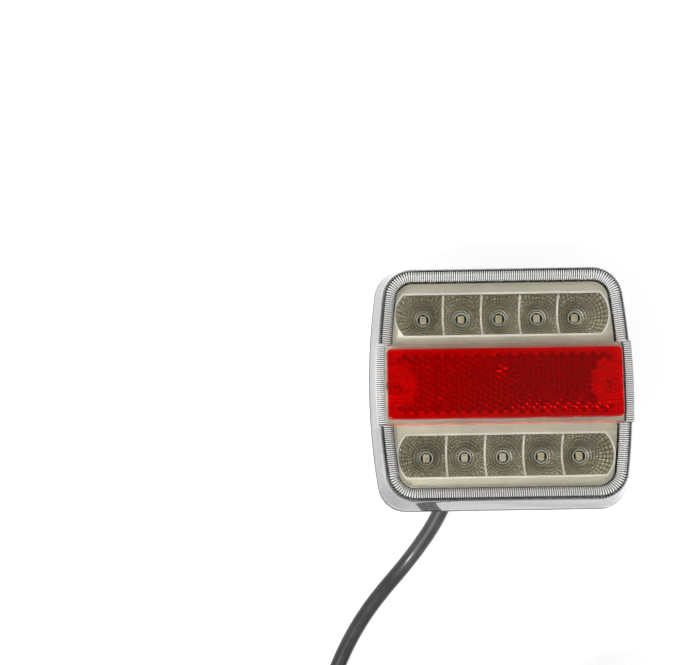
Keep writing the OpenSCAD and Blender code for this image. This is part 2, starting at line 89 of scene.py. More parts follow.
# The platform's top reaches to the first of these, and its slopes end at the second
PLATFORM_Y = 15.8
WINDOW_Y = 16.4
BEZEL_Z = box_mm("reflector_bezel")[1][2]
LED_W = 2.8
CUP_PITCH = (LED_HI[0] - LED_LO[0] - LED_W) / 4
ROW_Y = (LED_LO[1] + LED_HI[1]) / 2
CUP_R = 11.5
CUP_HOLE_R = 2.7
CUP_Z = CUPS_LO[2]
CUP_TOP = CUPS_HI[2]
ROW_HALF = 8.05
# Direction in which the cable leaves the hub
OUTLET_ANGLE = math.radians(-117)
OUTLET = np.array([math.cos(OUTLET_ANGLE), math.sin(OUTLET_ANGLE), 0])
OUTLET_Z = MAGNET_HI[2] + 4.8
CABLE_R = 3.1

# ---------------- camera

CAMERA_LENS = 82.6
CAMERA_SENSOR = 36
CAMERA_PLACE = (-61.4, -66.6, 665.6)
CAMERA_TILT = math.radians(8)
# The whole camera is turned this far about the lamp's own axis
CAMERA_TURN = math.radians(-0.9)


def make_camera():
    data = bpy.data.cameras.new("camera")
    data.lens = CAMERA_LENS
    data.sensor_width = CAMERA_SENSOR
    data.clip_end = 50
    camera = bpy.data.objects.new("camera", data)
    x, y, z = (value * MM for value in CAMERA_PLACE)
    cosine, sine = math.cos(CAMERA_TURN), math.sin(CAMERA_TURN)
    camera.location = (x * cosine - y * sine, x * sine + y * cosine, z)
    camera.rotation_euler = (CAMERA_TILT, 0, CAMERA_TURN)
    bpy.context.scene.collection.objects.link(camera)
    bpy.context.scene.camera = camera


make_camera()

# ---------------- materials


ACRYLIC_IOR = 1.49


class Nodes:
    """Short calls for building one material's nodes."""

    def __init__(self, name):
        self.material = bpy.data.materials.new(name)
        self.material.use_nodes = True
        self.tree = self.material.node_tree
        self.shader = self.tree.nodes["Principled BSDF"]
        self.place = self.tree.nodes.new("ShaderNodeTexCoord").outputs["Object"]

    def set(self, **values):
        for name, value in values.items():
            self.shader.inputs[name.replace("_", " ")].default_value = value

    def link(self, source, target):
        self.tree.links.new(source, target)

    def node(self, kind, **values):
        node = self.tree.nodes.new("ShaderNode" + kind)
        for name, value in values.items():
            node.inputs[name.replace("_", " ")].default_value = value
        return node

    def noise(self, scale, detail=3.0, roughness=0.55, stretch=None):
        node = self.node("TexNoise", Scale=scale, Detail=detail, Roughness=roughness)
        self.link(self.stretched(stretch), node.inputs["Vector"])
        return node.outputs["Fac"]

    def cells(self, scale, stretch=None, feature="F1"):
        node = self.node("TexVoronoi", Scale=scale)
        node.feature = feature
        self.link(self.stretched(stretch), node.inputs["Vector"])
        return node.outputs["Distance"]

    def stretched(self, stretch):
        if stretch is None:
            return self.place
        node = self.node("Mapping", Scale=stretch)
        self.link(self.place, node.inputs["Vector"])
        return node.outputs["Vector"]

    def spread(self, value, low, high, start=0.3, end=0.7):
        node = self.node("MapRange", From_Min=start, From_Max=end, To_Min=low, To_Max=high)
        self.link(value, node.inputs["Value"])
        return node.outputs["Result"]

    def blend(self, factor, first, second):
        node = self.node("Mix")
        node.data_type = "RGBA"
        self.link(factor, node.inputs["Factor"])
        for socket, value in (("A", first), ("B", second)):
            target = [s for s in node.inputs if s.name == socket and s.type == "RGBA"][0]
            if isinstance(value, bpy.types.NodeSocket):
                self.link(value, target)
            else:
                target.default_value = (*value, 1)
        return [s for s in node.outputs if s.type == "RGBA"][0]

    def bump(self, height, strength, depth):
        node = self.node("Bump", Strength=strength, Distance=depth * MM)
        self.link(height, node.inputs["Height"])
        if self.shader.inputs["Normal"].is_linked:
            self.link(self.shader.inputs["Normal"].links[0].from_socket, node.inputs["Normal"])
        self.link(node.outputs["Normal"], self.shader.inputs["Normal"])

    def colour(self, socket):
        self.link(socket, self.shader.inputs["Base Color"])

    def rough(self, socket):
        self.link(socket, self.shader.inputs["Roughness"])


def plastic(name, dark, light, roughness, grain=1200, depth=0.02, strength=0.4):
    """Moulded plastic or rubber: a fine grain, soft blotches and a gloss that varies."""
    n = Nodes(name)
    n.colour(n.blend(n.spread(n.noise(90), 0, 1), dark, light))
    n.rough(n.spread(n.noise(260, 4), roughness - 0.06, roughness + 0.08))
    n.bump(n.noise(grain, 2), strength, depth)
    return n.material


def metal(name, dark, light, roughness, grain=900, stretch=None, depth=0.01, strength=0.3, metallic=1.0):
    """Plated or bare metal: tone drifts, fine tool marks and a gloss that varies."""
    n = Nodes(name)
    n.set(Metallic=metallic)
    n.colour(n.blend(n.spread(n.noise(140, 4), 0, 1), dark, light))
    marks = n.noise(grain, 4, 0.6, stretch)
    n.rough(n.spread(marks, roughness - 0.05, roughness + 0.08))
    n.bump(marks, strength, depth)
    return n.material


def clear_plastic(name, tint, clarity=1.0, roughness_high=0.03, sheen=0.5):
    """Clear or tinted moulded plastic; below full clarity it scatters some of the light."""
    n = Nodes(name)
    n.set(Transmission_Weight=clarity, IOR=ACRYLIC_IOR, Specular_IOR_Level=sheen)
    n.colour(n.blend(n.spread(n.noise(70), 0, 1), tint, [min(1, t * 1.03) for t in tint]))
    n.rough(n.spread(n.noise(400, 4), 0.0, roughness_high))
    n.bump(n.noise(160, 2), 0.15, 0.02)
    return n.material


# Name, dark tone, light tone and roughness, then the grain's scale, depth and strength
PLASTICS = [
    ("black_abs", (0.010, 0.010, 0.010), (0.020, 0.020, 0.019), 0.42, 1500, 0.03),
    ("sealant", (0.05, 0.05, 0.05), (0.09, 0.09, 0.09), 0.4, 500, 0.05),
    ("black_rubber", (0.012, 0.012, 0.012), (0.026, 0.026, 0.026), 0.5, 900, 0.03),
    ("cable_jacket", (0.014, 0.014, 0.014), (0.028, 0.028, 0.027), 0.38, 700, 0.04),
    ("plug_plastic", (0.010, 0.010, 0.011), (0.020, 0.020, 0.021), 0.45, 1300, 0.05),
    ("insert_plastic", (0.035, 0.035, 0.037), (0.055, 0.055, 0.058), 0.5, 1100, 0.04),
    ("nylon", (0.014, 0.014, 0.015), (0.030, 0.030, 0.032), 0.6, 1600, 0.08, 0.8),
    ("potting", (0.008, 0.008, 0.009), (0.022, 0.022, 0.022), 0.3, 220, 0.12, 0.6),
    ("core_white", (0.74, 0.74, 0.72), (0.84, 0.84, 0.82), 0.4, 700),
    ("core_brown", (0.11, 0.045, 0.02), (0.16, 0.06, 0.03), 0.4, 700),
    ("core_red", (0.55, 0.02, 0.02), (0.66, 0.03, 0.03), 0.4, 700),
    ("core_yellow", (0.75, 0.55, 0.04), (0.83, 0.62, 0.07), 0.4, 700),
    ("component", (0.010, 0.010, 0.011), (0.030, 0.030, 0.032), 0.45, 1800, 0.03),
    ("led_body", (0.74, 0.67, 0.48), (0.80, 0.73, 0.54), 0.35, 2500, 0.01),
    ("phosphor", (0.72, 0.58, 0.33), (0.80, 0.66, 0.40), 0.25, 3000, 0.02),
]
# The same for metals, with the marks' stretch after their scale, and the metallic share at the end
METALS = [
    ("zinc_steel", (0.62, 0.64, 0.66), (0.80, 0.82, 0.84), 0.24, 700, (1, 1, 6)),
    ("passivated_steel", (0.62, 0.55, 0.42), (0.78, 0.72, 0.60), 0.28, 1200),
    ("screw_steel", (0.60, 0.61, 0.63), (0.75, 0.76, 0.78), 0.26, 1400),
    ("tinned_copper", (0.66, 0.67, 0.68), (0.80, 0.81, 0.82), 0.3, 1600),
    ("brass", (0.62, 0.43, 0.16), (0.76, 0.56, 0.26), 0.26, 1100, (6, 1, 1)),
    ("bezel_chrome", (0.70, 0.66, 0.51), (0.76, 0.72, 0.57), 0.4, 500, None, 0.004, 0.3, 0.5),
    ("reflector_chrome", (0.82, 0.79, 0.67), (0.88, 0.85, 0.74), 0.06, 900, None, 0.002),
    # Painted shade: a dark metal for the sloped strips between the cup's facets, standing in for the shade in
    # the grooves
    ("reflector_groove", (0.22, 0.20, 0.15), (0.30, 0.28, 0.21), 0.35, 900, None, 0.002),
    # Painted highlight: a near-white metal on the lips and ridges, standing in for the light they catch
    ("bright_edge", (0.91, 0.88, 0.79), (0.96, 0.94, 0.87), 0.35, 700, None, 0.002, 0.3, 0.2),
]
# Name and tint, then the clarity, the highest roughness and the sheen
CLEAR_PLASTICS = [
    ("clear_lens", (0.97, 0.97, 0.96)),
    # Painted highlight and painted shade on the ribs: a milky light copy and a grey dark copy of the clear
    # acrylic
    ("rib_crest", (0.74, 0.74, 0.73), 0.25, 0.3),
    ("rib_gap", (0.42, 0.42, 0.42)),
    # Painted shade: the skirt is the same clear acrylic, tinted grey and without sheen so that it looks
    # darker
    ("lens_skirt", (0.60, 0.60, 0.59), 1.0, 0.03, 0.0),
    ("step_edge", (0.86, 0.13, 0.09), 0.5),
    # Painted light: a milkier copy of the red acrylic that makes the flat cells and the eyes look brighter
    ("red_flat", (0.96, 0.0006, 0.0004), 0.79),
    # Painted shade: a dark copy of the red acrylic for two faces of each prism
    ("red_shade", (0.05, 0.0002, 0.0002), 0.96),
    ("red_lens", (0.96, 0.0006, 0.0004), 0.93),
]


def ferrite():
    """Pressed ferrite: mottled grey with pits and a few rusty stains."""
    n = Nodes("ferrite")
    mottled = n.blend(n.spread(n.noise(170, 5, 0.65), 0, 1), (0.095, 0.095, 0.09), (0.17, 0.168, 0.158))
    stained = n.spread(n.noise(45, 3), 0, 0.5, 0.62, 0.8)
    n.colour(n.blend(stained, mottled, (0.19, 0.12, 0.09)))
    n.rough(n.spread(n.noise(900, 4), 0.5, 0.75))
    n.bump(n.noise(1500, 4), 0.5, 0.05)
    n.bump(n.cells(320), 0.3, 0.08)
    return n.material


def board_mask():
    """Dark solder mask with copper tracks showing through it."""
    n = Nodes("board")
    tracks = n.spread(n.cells(260, (1, 1, 0), "DISTANCE_TO_EDGE"), 0, 1, 0.03, 0.07)
    n.colour(n.blend(tracks, (0.010, 0.035, 0.020), (0.020, 0.065, 0.036)))
    n.rough(n.spread(n.noise(800), 0.25, 0.4))
    n.bump(tracks, 0.4, 0.03)
    return n.material


MATERIALS = {}
for make, looks in ((plastic, PLASTICS), (metal, METALS), (clear_plastic, CLEAR_PLASTICS)):
    for look in looks:
        MATERIALS[look[0]] = make(*look)
MATERIALS["ferrite"] = ferrite()
MATERIALS["board"] = board_mask()
MATERIALS["led"] = MATERIALS["led_body"]

for part in frame["record"]["subparts"]:
    mesh = frame["nodes"][part["node"]].data
    mesh.materials.clear()
    mesh.materials.append(MATERIALS[part["material_slot"]])

# ---------------- mesh helpers


def piece_from(bm, name, slot, nodes=(), smooth=35, materials=()):
    """Turns a bmesh in millimetres into a piece of the object."""
    mesh = bpy.data.meshes.new(name)
    bmesh.ops.recalc_face_normals(bm, faces=bm.faces)
    bmesh.ops.scale(bm, vec=(MM, MM, MM), verts=bm.verts)
    bm.to_mesh(mesh)
    bm.free()
    mesh.polygons.foreach_set("use_smooth", [True] * len(mesh.polygons))
    mesh.set_sharp_from_angle(angle=math.radians(smooth))
    for material in materials or (slot,):
        mesh.materials.append(MATERIALS[material])
    obj = bpy.data.objects.new(name, mesh)
    bpy.context.scene.collection.objects.link(obj)
    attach(obj, BODY)
    if nodes:
        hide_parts(*nodes)


def add_rings(bm, rings, closed=False, caps=True):
    """Joins rings of points, all of one length, with quads; the ends are capped or joined to each other."""
    rows = [[bm.verts.new(p) for p in ring] for ring in rings]
    count = len(rows[0])
    pairs = list(zip(rows, rows[1:]))
    if closed:
        pairs.append((rows[-1], rows[0]))
    faces = []
    for low, high in pairs:
        for i in range(count):
            j = (i + 1) % count
            faces.append(bm.faces.new((low[i], low[j], high[j], high[i])))
    if caps and not closed:
        faces.append(bm.faces.new(rows[0][::-1]))
        faces.append(bm.faces.new(rows[-1]))
    return rows, faces


def ring_angles(steps):
    return np.arange(steps) * 2 * math.pi / steps


def circle(r, z, steps, centre=(0, 0)):
    a = ring_angles(steps)
    return np.column_stack([centre[0] + r * np.cos(a), centre[1] + r * np.sin(a), np.full(steps, z)])


def only(kind, items):
    """Those of some mesh elements that are of one kind."""
    return [item for item in items if isinstance(item, kind)]


def paint(faces, looks, name):
    """Gives faces the named one of a piece's looks."""
    for face in faces:
        face.material_index = looks.index(name)


def cut(bm, at, direction, slack=1e-4):
    """Cuts off what lies beyond a plane."""
    geometry = bm.verts[:] + bm.edges[:] + bm.faces[:]
    bmesh.ops.bisect_plane(bm, geom=geometry, dist=slack, plane_co=at, plane_no=direction, clear_outer=True)


def fill_with_holes(bm, loops):
    """Fills a flat area between an outer loop of verts and its holes."""
    flat = [v for loop in loops for v in loop]
    for tri in tessellate_polygon([[v.co for v in loop] for loop in loops]):
        bm.faces.new([flat[i] for i in tri])


def round_rect(w, h, r, steps=6):
    """Points of a rectangle with round corners, anticlockwise."""
    points = []
    for k, (sx, sy) in enumerate(((1, 1), (-1, 1), (-1, -1), (1, -1))):
        for i in range(steps + 1):
            a = math.pi / 2 * (k + i / steps)
            points.append((sx * (w / 2 - r) + r * math.cos(a), sy * (h / 2 - r) + r * math.sin(a)))
    return points


# ---------------- cable

COIL_X, COIL_Y = -35, -168
# Radii of the turns, inwards in the lower layer and outwards again in the upper one
LAYER_RADII = [50.2, 43.9, 37.6, 31.3, 25]
TURN_RADII = LAYER_RADII + LAYER_RADII[::-1]
LOWER_Z, UPPER_Z = 3.7, 10.0
# The last part of each turn leads over to the next one
CROSS_OVER = 0.2
# Angles in degrees at which the coil starts, and which it sweeps
COIL_START = 158.9
COIL_SWEEP = 270 - COIL_START + 9 * 360
LEAD = [(r * OUTLET[0], r * OUTLET[1], OUTLET_Z) for r in (13, 22, 31, 40)] + [
    (-21, -41, 18.5), (-24, -47.5, 15.5), (-27.5, -54, 11.5), (-31.5, -60, 7.7), (-36, -66, 4.6),
    (-41, -72, 3.3), (-48.5, -80.5, 3.15), (-55.5, -89.5, 3.1), (-61.5, -99, 3.1), (-66.5, -109, 3.1),
    (-71.5, -121, 3.1), (-76.5, -135, 3.4),
]
TAIL = [
    (-29, -218.3, 10.3), (-22, -218.6, 11), (-14, -219.2, 12.3), (-6, -220, 13.9), (1, -220.7, 15.3),
    (8, -221, 16.6), (14.5, -221, 17.7), (21, -220.1, 18.7), (27, -217.7, 19.5), (32.2, -213.7, 20),
    (36.2, -208.5, 20.2), (38.7, -202.5, 20.2), (39.5, -196, 20.2), (39.5, -188, 20.2),
    (39.5, -178, 20.2),
]


def coil_points(per_turn=18):
    """Nine turns and a bit: in along the lower layer, out again along the upper one."""
    count = round(COIL_SWEEP / 360 * per_turn)
    points = []
    for i in range(count + 1):
        turns = COIL_SWEEP / 360 * i / count
        k = int(turns)
        step = max(0.0, (turns - k - (1 - CROSS_OVER)) / CROSS_OVER)
        step = step * step * (3 - 2 * step)
        after = min(k + 1, len(TURN_RADII) - 1)
        r = TURN_RADII[k] + (TURN_RADII[after] - TURN_RADII[k]) * step
        levels = [LOWER_Z if n < len(LAYER_RADII) else UPPER_Z for n in (k, after)]
        z = levels[0] + (levels[1] - levels[0]) * step
        a = math.radians(COIL_START + turns * 360)
        points.append((COIL_X + r * math.cos(a), COIL_Y + r * math.sin(a), z))
    return points


def make_cable():
    points = LEAD + coil_points() + TAIL
    data = bpy.data.curves.new("lead", "CURVE")
    data.dimensions = "3D"
    data.bevel_depth = CABLE_R * MM
    data.bevel_resolution = 5
    data.resolution_u = 5
    data.use_fill_caps = True
    spline = data.splines.new("BEZIER")
    spline.bezier_points.add(len(points) - 1)
    for knot, p in zip(spline.bezier_points, points):
        knot.co = Vector(p) * MM
        knot.handle_left_type = "AUTO"
        knot.handle_right_type = "AUTO"
    data.materials.append(MATERIALS["cable_jacket"])
    lead = bpy.data.objects.new("lead", data)
    bpy.context.scene.collection.objects.link(lead)
    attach(lead, BODY)
    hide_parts("cable", "cable_coil", "cable_tail")
    return lead


lead = make_cable()

# ---------------- outline

# Samples of a quarter of the rim: beside the platform, its slope and the window, then the corner and the top
SIDE_STEPS = (76, 8, 92)
CORNER_STEPS = 56
TOP_STEPS = 168


def family(corner):
    """Centres, radii and directions of the outline's samples; the corner has that radius at no inset."""
    side_x = BASE_W / 2 - SIDE_R
    centre_y = BASE_H / 2 - corner
    centre_x = side_x + math.sqrt((SIDE_R - corner) ** 2 - centre_y**2)
    turn = math.asin(centre_y / (SIDE_R - corner))
    stops = [0, math.asin(PLATFORM_Y / SIDE_R), math.asin(WINDOW_Y / SIDE_R), turn]
    rows = []
    for k, steps in enumerate(SIDE_STEPS):
        for i in range(steps):
            a = stops[k] + (stops[k + 1] - stops[k]) * i / steps
            rows.append((side_x, 0, SIDE_R, math.cos(a), math.sin(a)))
    for i in range(CORNER_STEPS):
        a = turn + (math.pi / 2 - turn) * i / CORNER_STEPS
        rows.append((centre_x, centre_y, corner, math.cos(a), math.sin(a)))
    for i in range(TOP_STEPS + 1):
        rows.append((centre_x * (1 - i / TOP_STEPS), 0, BASE_H / 2, 0, 1))
    quarter = np.array(rows, float)
    flip_x = quarter[:0:-1] * (-1, 1, 1, -1, 1)
    around = quarter[:-1] * (-1, -1, 1, -1, -1)
    flip_y = quarter[:0:-1] * (1, -1, 1, 1, -1)
    return np.vstack([quarter[:-1], flip_x, around, flip_y])


BACK = family(BACK_CORNER)
FRONT = family(FRONT_CORNER)
RIM_COUNT = len(FRONT)
RIM = np.arange(RIM_COUNT)
RIB_WAVE = np.array([0, 1, 0, -1], float)


def moved_in(samples, inset):
    """Points of the outline, moved in."""
    return samples[:, :2] + (samples[:, 2] - inset)[:, None] * samples[:, 3:]


def rim_ring(points, z):
    return np.column_stack([points, np.broadcast_to(z, RIM_COUNT)])


def platform_share():
    """One for a rim sample on the middle platform, nought for one on the bead, and between on its ends."""
    y = np.abs(SIDE_R * FRONT[:, 4])
    on_side = FRONT[:, 2] == SIDE_R
    share = np.clip((WINDOW_Y - y) / (WINDOW_Y - PLATFORM_Y), 0, 1)
    share[np.isclose(share, 0, atol=1e-6)] = 0
    return np.where(on_side, share, 0)


PLATFORM = platform_share()

# ---------------- clear lens

# Inset, height and rib depth of the bead's section, from the skirt over the crest to the window
BEAD = [
    (3.00, -3.4, 0.09),
    (3.05, -2.6, 0.13),
    (3.35, -1.6, 0.18),
    (3.90, -0.7, 0.22),
    (4.60, -0.15, 0.26),
    (5.30, 0.0, 0.26),
    (6.00, -0.15, 0.26),
    (6.70, -0.6, 0.24),
    (7.30, -1.3, 0.22),
    (7.90, -2.2, 0.22),
    (8.40, -3.0, 0.13),
    (8.75, -WINDOW_DROP, 0.0),
]
# The same for the platform, from the skirt over its edge to beside the bar
SHELF = [(2.45, -3.4, 0.16), (2.42, -1.8, 0.16), (2.50, -1.5, 0.12)]
SHELF += [(inset, -PLATFORM_DROP, 0.0) for inset in (2.65, 3.2, 3.7, 4.2, 4.7, 5.2, 5.6, 5.8, 6.0)]
# Inset, height over the roof and rib depth of the hollow under the bead
HOLLOW = [
    (5.05, 1.6, 0.1),
    (4.95, 2.8, 0.2),
    (5.2, 3.6, 0.3),
    (5.9, 3.9, 0.3),
    (6.6, 3.6, 0.3),
    (7.2, 2.5, 0.2),
    (7.6, 0.0, 0.0),
]
# Rings up the skirt, and up the inner wall with its slanting ribs
SKIRT_LEVELS = 9
WALL_LEVELS = 16
WALL_RIB = 0.18
# Inset of the skirt's upper edge, and how far its last part leans out towards the platform's ends
SKIRT_INSET = 3
SKIRT_LEAN = 0.5
LEAN_PART = 0.2
# Levels of the bead that have ribs, and those of them on its outer side, which get painted shade all over
RIB_LEVELS = 9
OUTER_LEVELS = 4
POCKET_GAP = 0.2
POCKET_CORNER = 1.9
LENS_LOOKS = ("clear_lens", "rib_crest", "lens_skirt", "rib_gap", "step_edge")


def lens_outside():
    """Rings of the lens's outer face, foot to window."""
    rings = []
    wave = RIB_WAVE[RIM % 4]
    for i in range(SKIRT_LEVELS):
        t = i / SKIRT_LEVELS
        inset = SKIRT_INSET - SKIRT_LEAN * PLATFORM * max(0, t - (1 - LEAN_PART)) / LEAN_PART
        points = (1 - t) * moved_in(BACK, FOOT_INSET) + t * moved_in(FRONT, inset)
        rings.append(rim_ring(points, FOOT_Z + (WINDOW_Z - FOOT_Z) * t))
    section = np.array(BEAD)
    ahead = np.gradient(section[:, :2], axis=0)
    outward = np.column_stack([-ahead[:, 1], ahead[:, 0]])
    outward /= np.linalg.norm(outward, axis=1)[:, None]
    for level, (bead, shelf) in enumerate(zip(BEAD, SHELF)):
        inset, rise, depth = (b + (s - b) * PLATFORM for b, s in zip(bead, shelf))
        inset = inset + wave * depth * outward[level, 0]
        rise = rise + wave * depth * outward[level, 1] * (1 - PLATFORM)
        rings.append(rim_ring(moved_in(FRONT, inset), CREST_Z + rise))
    return rings


def lens_inside():
    """Rings of the lens's inner face, foot to roof, whose ribs slant."""
    rings = []
    for k in range(WALL_LEVELS + 1):
        t = k / WALL_LEVELS
        depth = 0.0 if k in (0, WALL_LEVELS) else WALL_RIB
        inset = LENS_WALL + depth * RIB_WAVE[(RIM + k) % 4]
        points = (1 - t) * moved_in(BACK, FOOT_INSET + inset) + t * moved_in(FRONT, SKIRT_INSET + inset)
        rings.append(rim_ring(points, FOOT_Z + (WALL_Z - FOOT_Z) * t))
    for inset, rise, depth in HOLLOW:
        rise = (rise + depth * RIB_WAVE[RIM % 4]) * (1 - PLATFORM)
        rings.append(rim_ring(moved_in(FRONT, inset), WALL_Z + rise))
    return rings


def wall_look(level, i):
    """Look of a quad in the lens's walls, by its level over the skirt and its place round the rim."""
    # Alternate halves of each rib get painted highlight and painted shade
    crest = i % 4 < 2
    # The skirt gets painted shade
    if -SKIRT_LEVELS <= level < 0:
        return "lens_skirt"
    if not 0 <= level < RIB_LEVELS:
        return "clear_lens"
    if PLATFORM[i] == 0:
        return "rib_crest" if crest and level >= OUTER_LEVELS else "rib_gap"
    return "rib_crest" if crest else "clear_lens"


def make_lens():
    bm = bmesh.new()
    inside = lens_inside()
    rows, walls = add_rings(bm, inside[::-1] + lens_outside(), caps=False)
    bm.faces.new(rows[0])
    for k, face in enumerate(walls):
        level, i = divmod(k, RIM_COUNT)
        paint([face], LENS_LOOKS, wall_look(level - len(inside) - SKIRT_LEVELS, i))
    inner = rows[-1]
    on_shelf = np.flatnonzero(PLATFORM == 1)
    right = [i for i in on_shelf if FRONT[i, 3] > 0]
    left = [i for i in on_shelf if FRONT[i, 3] < 0]
    right.sort(key=lambda i: FRONT[i, 4])
    left.sort(key=lambda i: -FRONT[i, 4])
    edge = SIDE_STEPS[1]
    # Platform top, with the bar's pocket in it
    bar_w = BAR_HI[0] - BAR_LO[0] + POCKET_GAP
    bar_h = BAR_HI[1] - BAR_LO[1] + POCKET_GAP
    rim = round_rect(bar_w, bar_h, POCKET_CORNER)
    pocket = [[bm.verts.new((x, y, z)) for x, y in rim] for z in (PLATFORM_Z, BAR_LO[2])]
    fill_with_holes(bm, [[inner[i] for i in right + left], pocket[0]])
    count = len(pocket[0])
    for i in range(count):
        j = (i + 1) % count
        bm.faces.new((pocket[0][i], pocket[0][j], pocket[1][j], pocket[1][i]))
    bm.faces.new(pocket[1])
    # Sloped platform edges and the two windows
    top_right, top_left = right[-1], left[0]
    low_right, low_left = right[0], left[-1]
    slopes = [
        bm.faces.new([inner[a + i] for i in range(edge + 1)] + [inner[b - edge + i] for i in range(edge + 1)])
        for a, b in ((top_right, top_left), (low_left, low_right))
    ]
    bm.faces.new([inner[i] for i in range(top_right + edge, top_left - edge + 1)])
    bm.faces.new([inner[i] for i in range(low_left + edge, low_right - edge + 1)])
    paint(slopes, LENS_LOOKS, "step_edge")
    piece_from(bm, "clear_lens", "clear_lens", ["lens_cover"], smooth=40, materials=LENS_LOOKS)


make_lens()

# ---------------- reflex bar

CELL = 2.35
CELL_R = CELL / math.sqrt(3)
CELL_STEP = 1.5 * CELL_R
PRISM_RISE = CELL / math.sqrt(6)
FIELD_COLUMNS = 20
FIELD_ROWS = 9
EYE_R = 8.0
EYE_FROM_END = 3.6
EYE_RING = 1.45
EYE_RING_H = 0.55
EYE_SLOPE = 0.03
BAR_CORNER = 1.8
BAR_FLAT = BAR_LO[2] + 0.1
BAR_APEX = BAR_LO[2] + 0.25
BAR_LOOKS = ("red_lens", "red_flat", "red_shade")
EYES = [(sign * (BAR_HI[0] - EYE_FROM_END), 0) for sign in (-1, 1)]


def near_eye(x, y, reach):
    return any(math.hypot(x - ex, y - ey) < reach for ex, ey in EYES)


def prism_lattice(bm):
    """Underside of the bar: corner cubes in hexagonal cells, turned round right of the middle."""
    verts, sides = {}, {}

    def vert(xy, z):
        key = (*xy, round(z, 3))
        if key not in verts:
            verts[key] = bm.verts.new(key)
        return verts[key]

    for column in range(-FIELD_COLUMNS - 4, FIELD_COLUMNS + 5):
        for row in range(-FIELD_ROWS // 2 - 2, FIELD_ROWS // 2 + 4):
            x, y = column * CELL_STEP, (row + (column % 2) / 2) * CELL
            in_field = abs(column) <= FIELD_COLUMNS and abs(y) < FIELD_ROWS * CELL / 2 + 0.1
            prism = in_field and not near_eye(x, y, EYE_R + 0.6 * CELL)
            ring = []
            for k in range(6):
                a = math.radians(60 * k)
                corner = (round(x + CELL_R * math.cos(a), 3), round(y + CELL_R * math.sin(a), 3))
                rise = PRISM_RISE * (1 + (k + (column > 0)) % 2)
                ring.append((corner, BAR_APEX + rise if prism else BAR_FLAT))
            middle = bm.verts.new((x, y, BAR_APEX if prism else BAR_FLAT))
            for k in range(6):
                first, second = vert(*ring[k]), vert(*ring[(k + 1) % 6])
                face = bm.faces.new((middle, first, second))
                # Flat cells and the eyes get the milkier red of painted light
                if not prism:
                    paint([face], BAR_LOOKS, "red_flat")
                # Two faces of each prism get painted shade
                elif (k - (column > 0)) % 6 in (2, 3):
                    paint([face], BAR_LOOKS, "red_shade")
                side = frozenset((ring[k][0], ring[(k + 1) % 6][0]))
                sides.setdefault(side, []).append((first, second))
    # Upright walls where neighbouring cells meet at different heights
    for pairs in sides.values():
        if len(pairs) == 2 and set(pairs[0]) != set(pairs[1]):
            corners = []
            for v in (*pairs[0][::-1], *pairs[1][::-1]):
                if v not in corners:
                    corners.append(v)
            bm.faces.new(corners)


def shape_eyes(bm):
    """Turns the flat cells at both ends into ringed lenses."""
    inside = [f for f in bm.faces if near_eye(*f.calc_center_median().xy, EYE_R + 0.3)]
    edges = list({e for f in inside for e in f.edges})
    bmesh.ops.subdivide_edges(bm, edges=edges, cuts=5, use_grid_fill=True)
    for v in bm.verts:
        for ex, ey in EYES:
            r = math.hypot(v.co.x - ex, v.co.y - ey)
            if r < EYE_R:
                phase = r / EYE_RING
                v.co.z = BAR_FLAT + EYE_RING_H * (1 - (phase % 1)) ** 2 + EYE_SLOPE * r


def clip_round_rect(bm, w, h, r, steps=5):
    """Cuts off what lies outside a rectangle with round corners."""
    cuts = [((w / 2, 0, 0), (1, 0, 0)), ((0, h / 2, 0), (0, 1, 0))]
    for i in range(1, steps + 1):
        a = math.pi / 2 * i / (steps + 1)
        d = (math.cos(a), math.sin(a), 0)
        cuts.append(((w / 2 - r + r * d[0], h / 2 - r + r * d[1], 0), d))
    signed = set()
    for sx, sy in ((1, 1), (-1, 1), (1, -1), (-1, -1)):
        for at, d in cuts:
            signed.add(((sx * at[0], sy * at[1], 0), (sx * d[0], sy * d[1], 0)))
    for at, direction in sorted(signed):
        cut(bm, at, direction, 1e-5)


def raise_rim(bm, levels, half_w, half_h):
    """Extrudes the open rim through levels of (inset, height) and closes the top."""
    rim = [e for e in bm.edges if e.is_boundary]
    inset_before = 0
    for inset, z in levels:
        made = bmesh.ops.extrude_edge_only(bm, edges=rim)["geom"]
        rim = only(bmesh.types.BMEdge, made)
        paint(only(bmesh.types.BMFace, made), BAR_LOOKS, "red_lens")
        for v in only(bmesh.types.BMVert, made):
            v.co.x *= (half_w - inset) / (half_w - inset_before)
            v.co.y *= (half_h - inset) / (half_h - inset_before)
            v.co.z = z
        inset_before = inset
    paint(bmesh.ops.holes_fill(bm, edges=rim, sides=0)["faces"], BAR_LOOKS, "red_lens")


def make_bar():
    bm = bmesh.new()
    prism_lattice(bm)
    bmesh.ops.remove_doubles(bm, verts=bm.verts[:], dist=0.002)
    shape_eyes(bm)
    half_w, half_h = BAR_HI[0], BAR_HI[1]
    clip_round_rect(bm, 2 * half_w, 2 * half_h, BAR_CORNER)
    top = BAR_HI[2]
    raise_rim(bm, [(0, top - 0.6), (0.18, top - 0.28), (0.5, top)], half_w, half_h)
    piece_from(bm, "red_bar", "red_lens", ["reflex_bar"], smooth=20, materials=BAR_LOOKS)


make_bar()

# ---------------- bezel and cups

BEZEL_INSET = 5.8
BEZEL_T = 1.0
BEZEL_FOOT_Z = FOOT_Z + 3.9
BEZEL_LOOKS = ("bezel_chrome", "component", "bright_edge")
POST_X, POST_Y = 41, 12
END_LED_X = END_LED_HI[0] - LED_W / 2


def row_loop(grow, z, y, arc_steps=20):
    """Rim of a row's opening, grown: straight sides and the end cups' rims."""
    r, h = CUP_R + grow, ROW_HALF + grow
    a = math.asin(h / r)
    points = []
    for side in (0, 1):
        for i in range(arc_steps + 1):
            t = side * math.pi - a + 2 * a * i / arc_steps
            points.append(((1 - 2 * side) * 2 * CUP_PITCH + r * math.cos(t), y + r * math.sin(t), z))
    return points


def add_loops(bm, loops, look):
    """Joins loops with quads of one look; the first and the last stay open."""
    rows, faces = add_rings(bm, loops, caps=False)
    paint(faces, BEZEL_LOOKS, look)
    return rows[0], rows[-1]


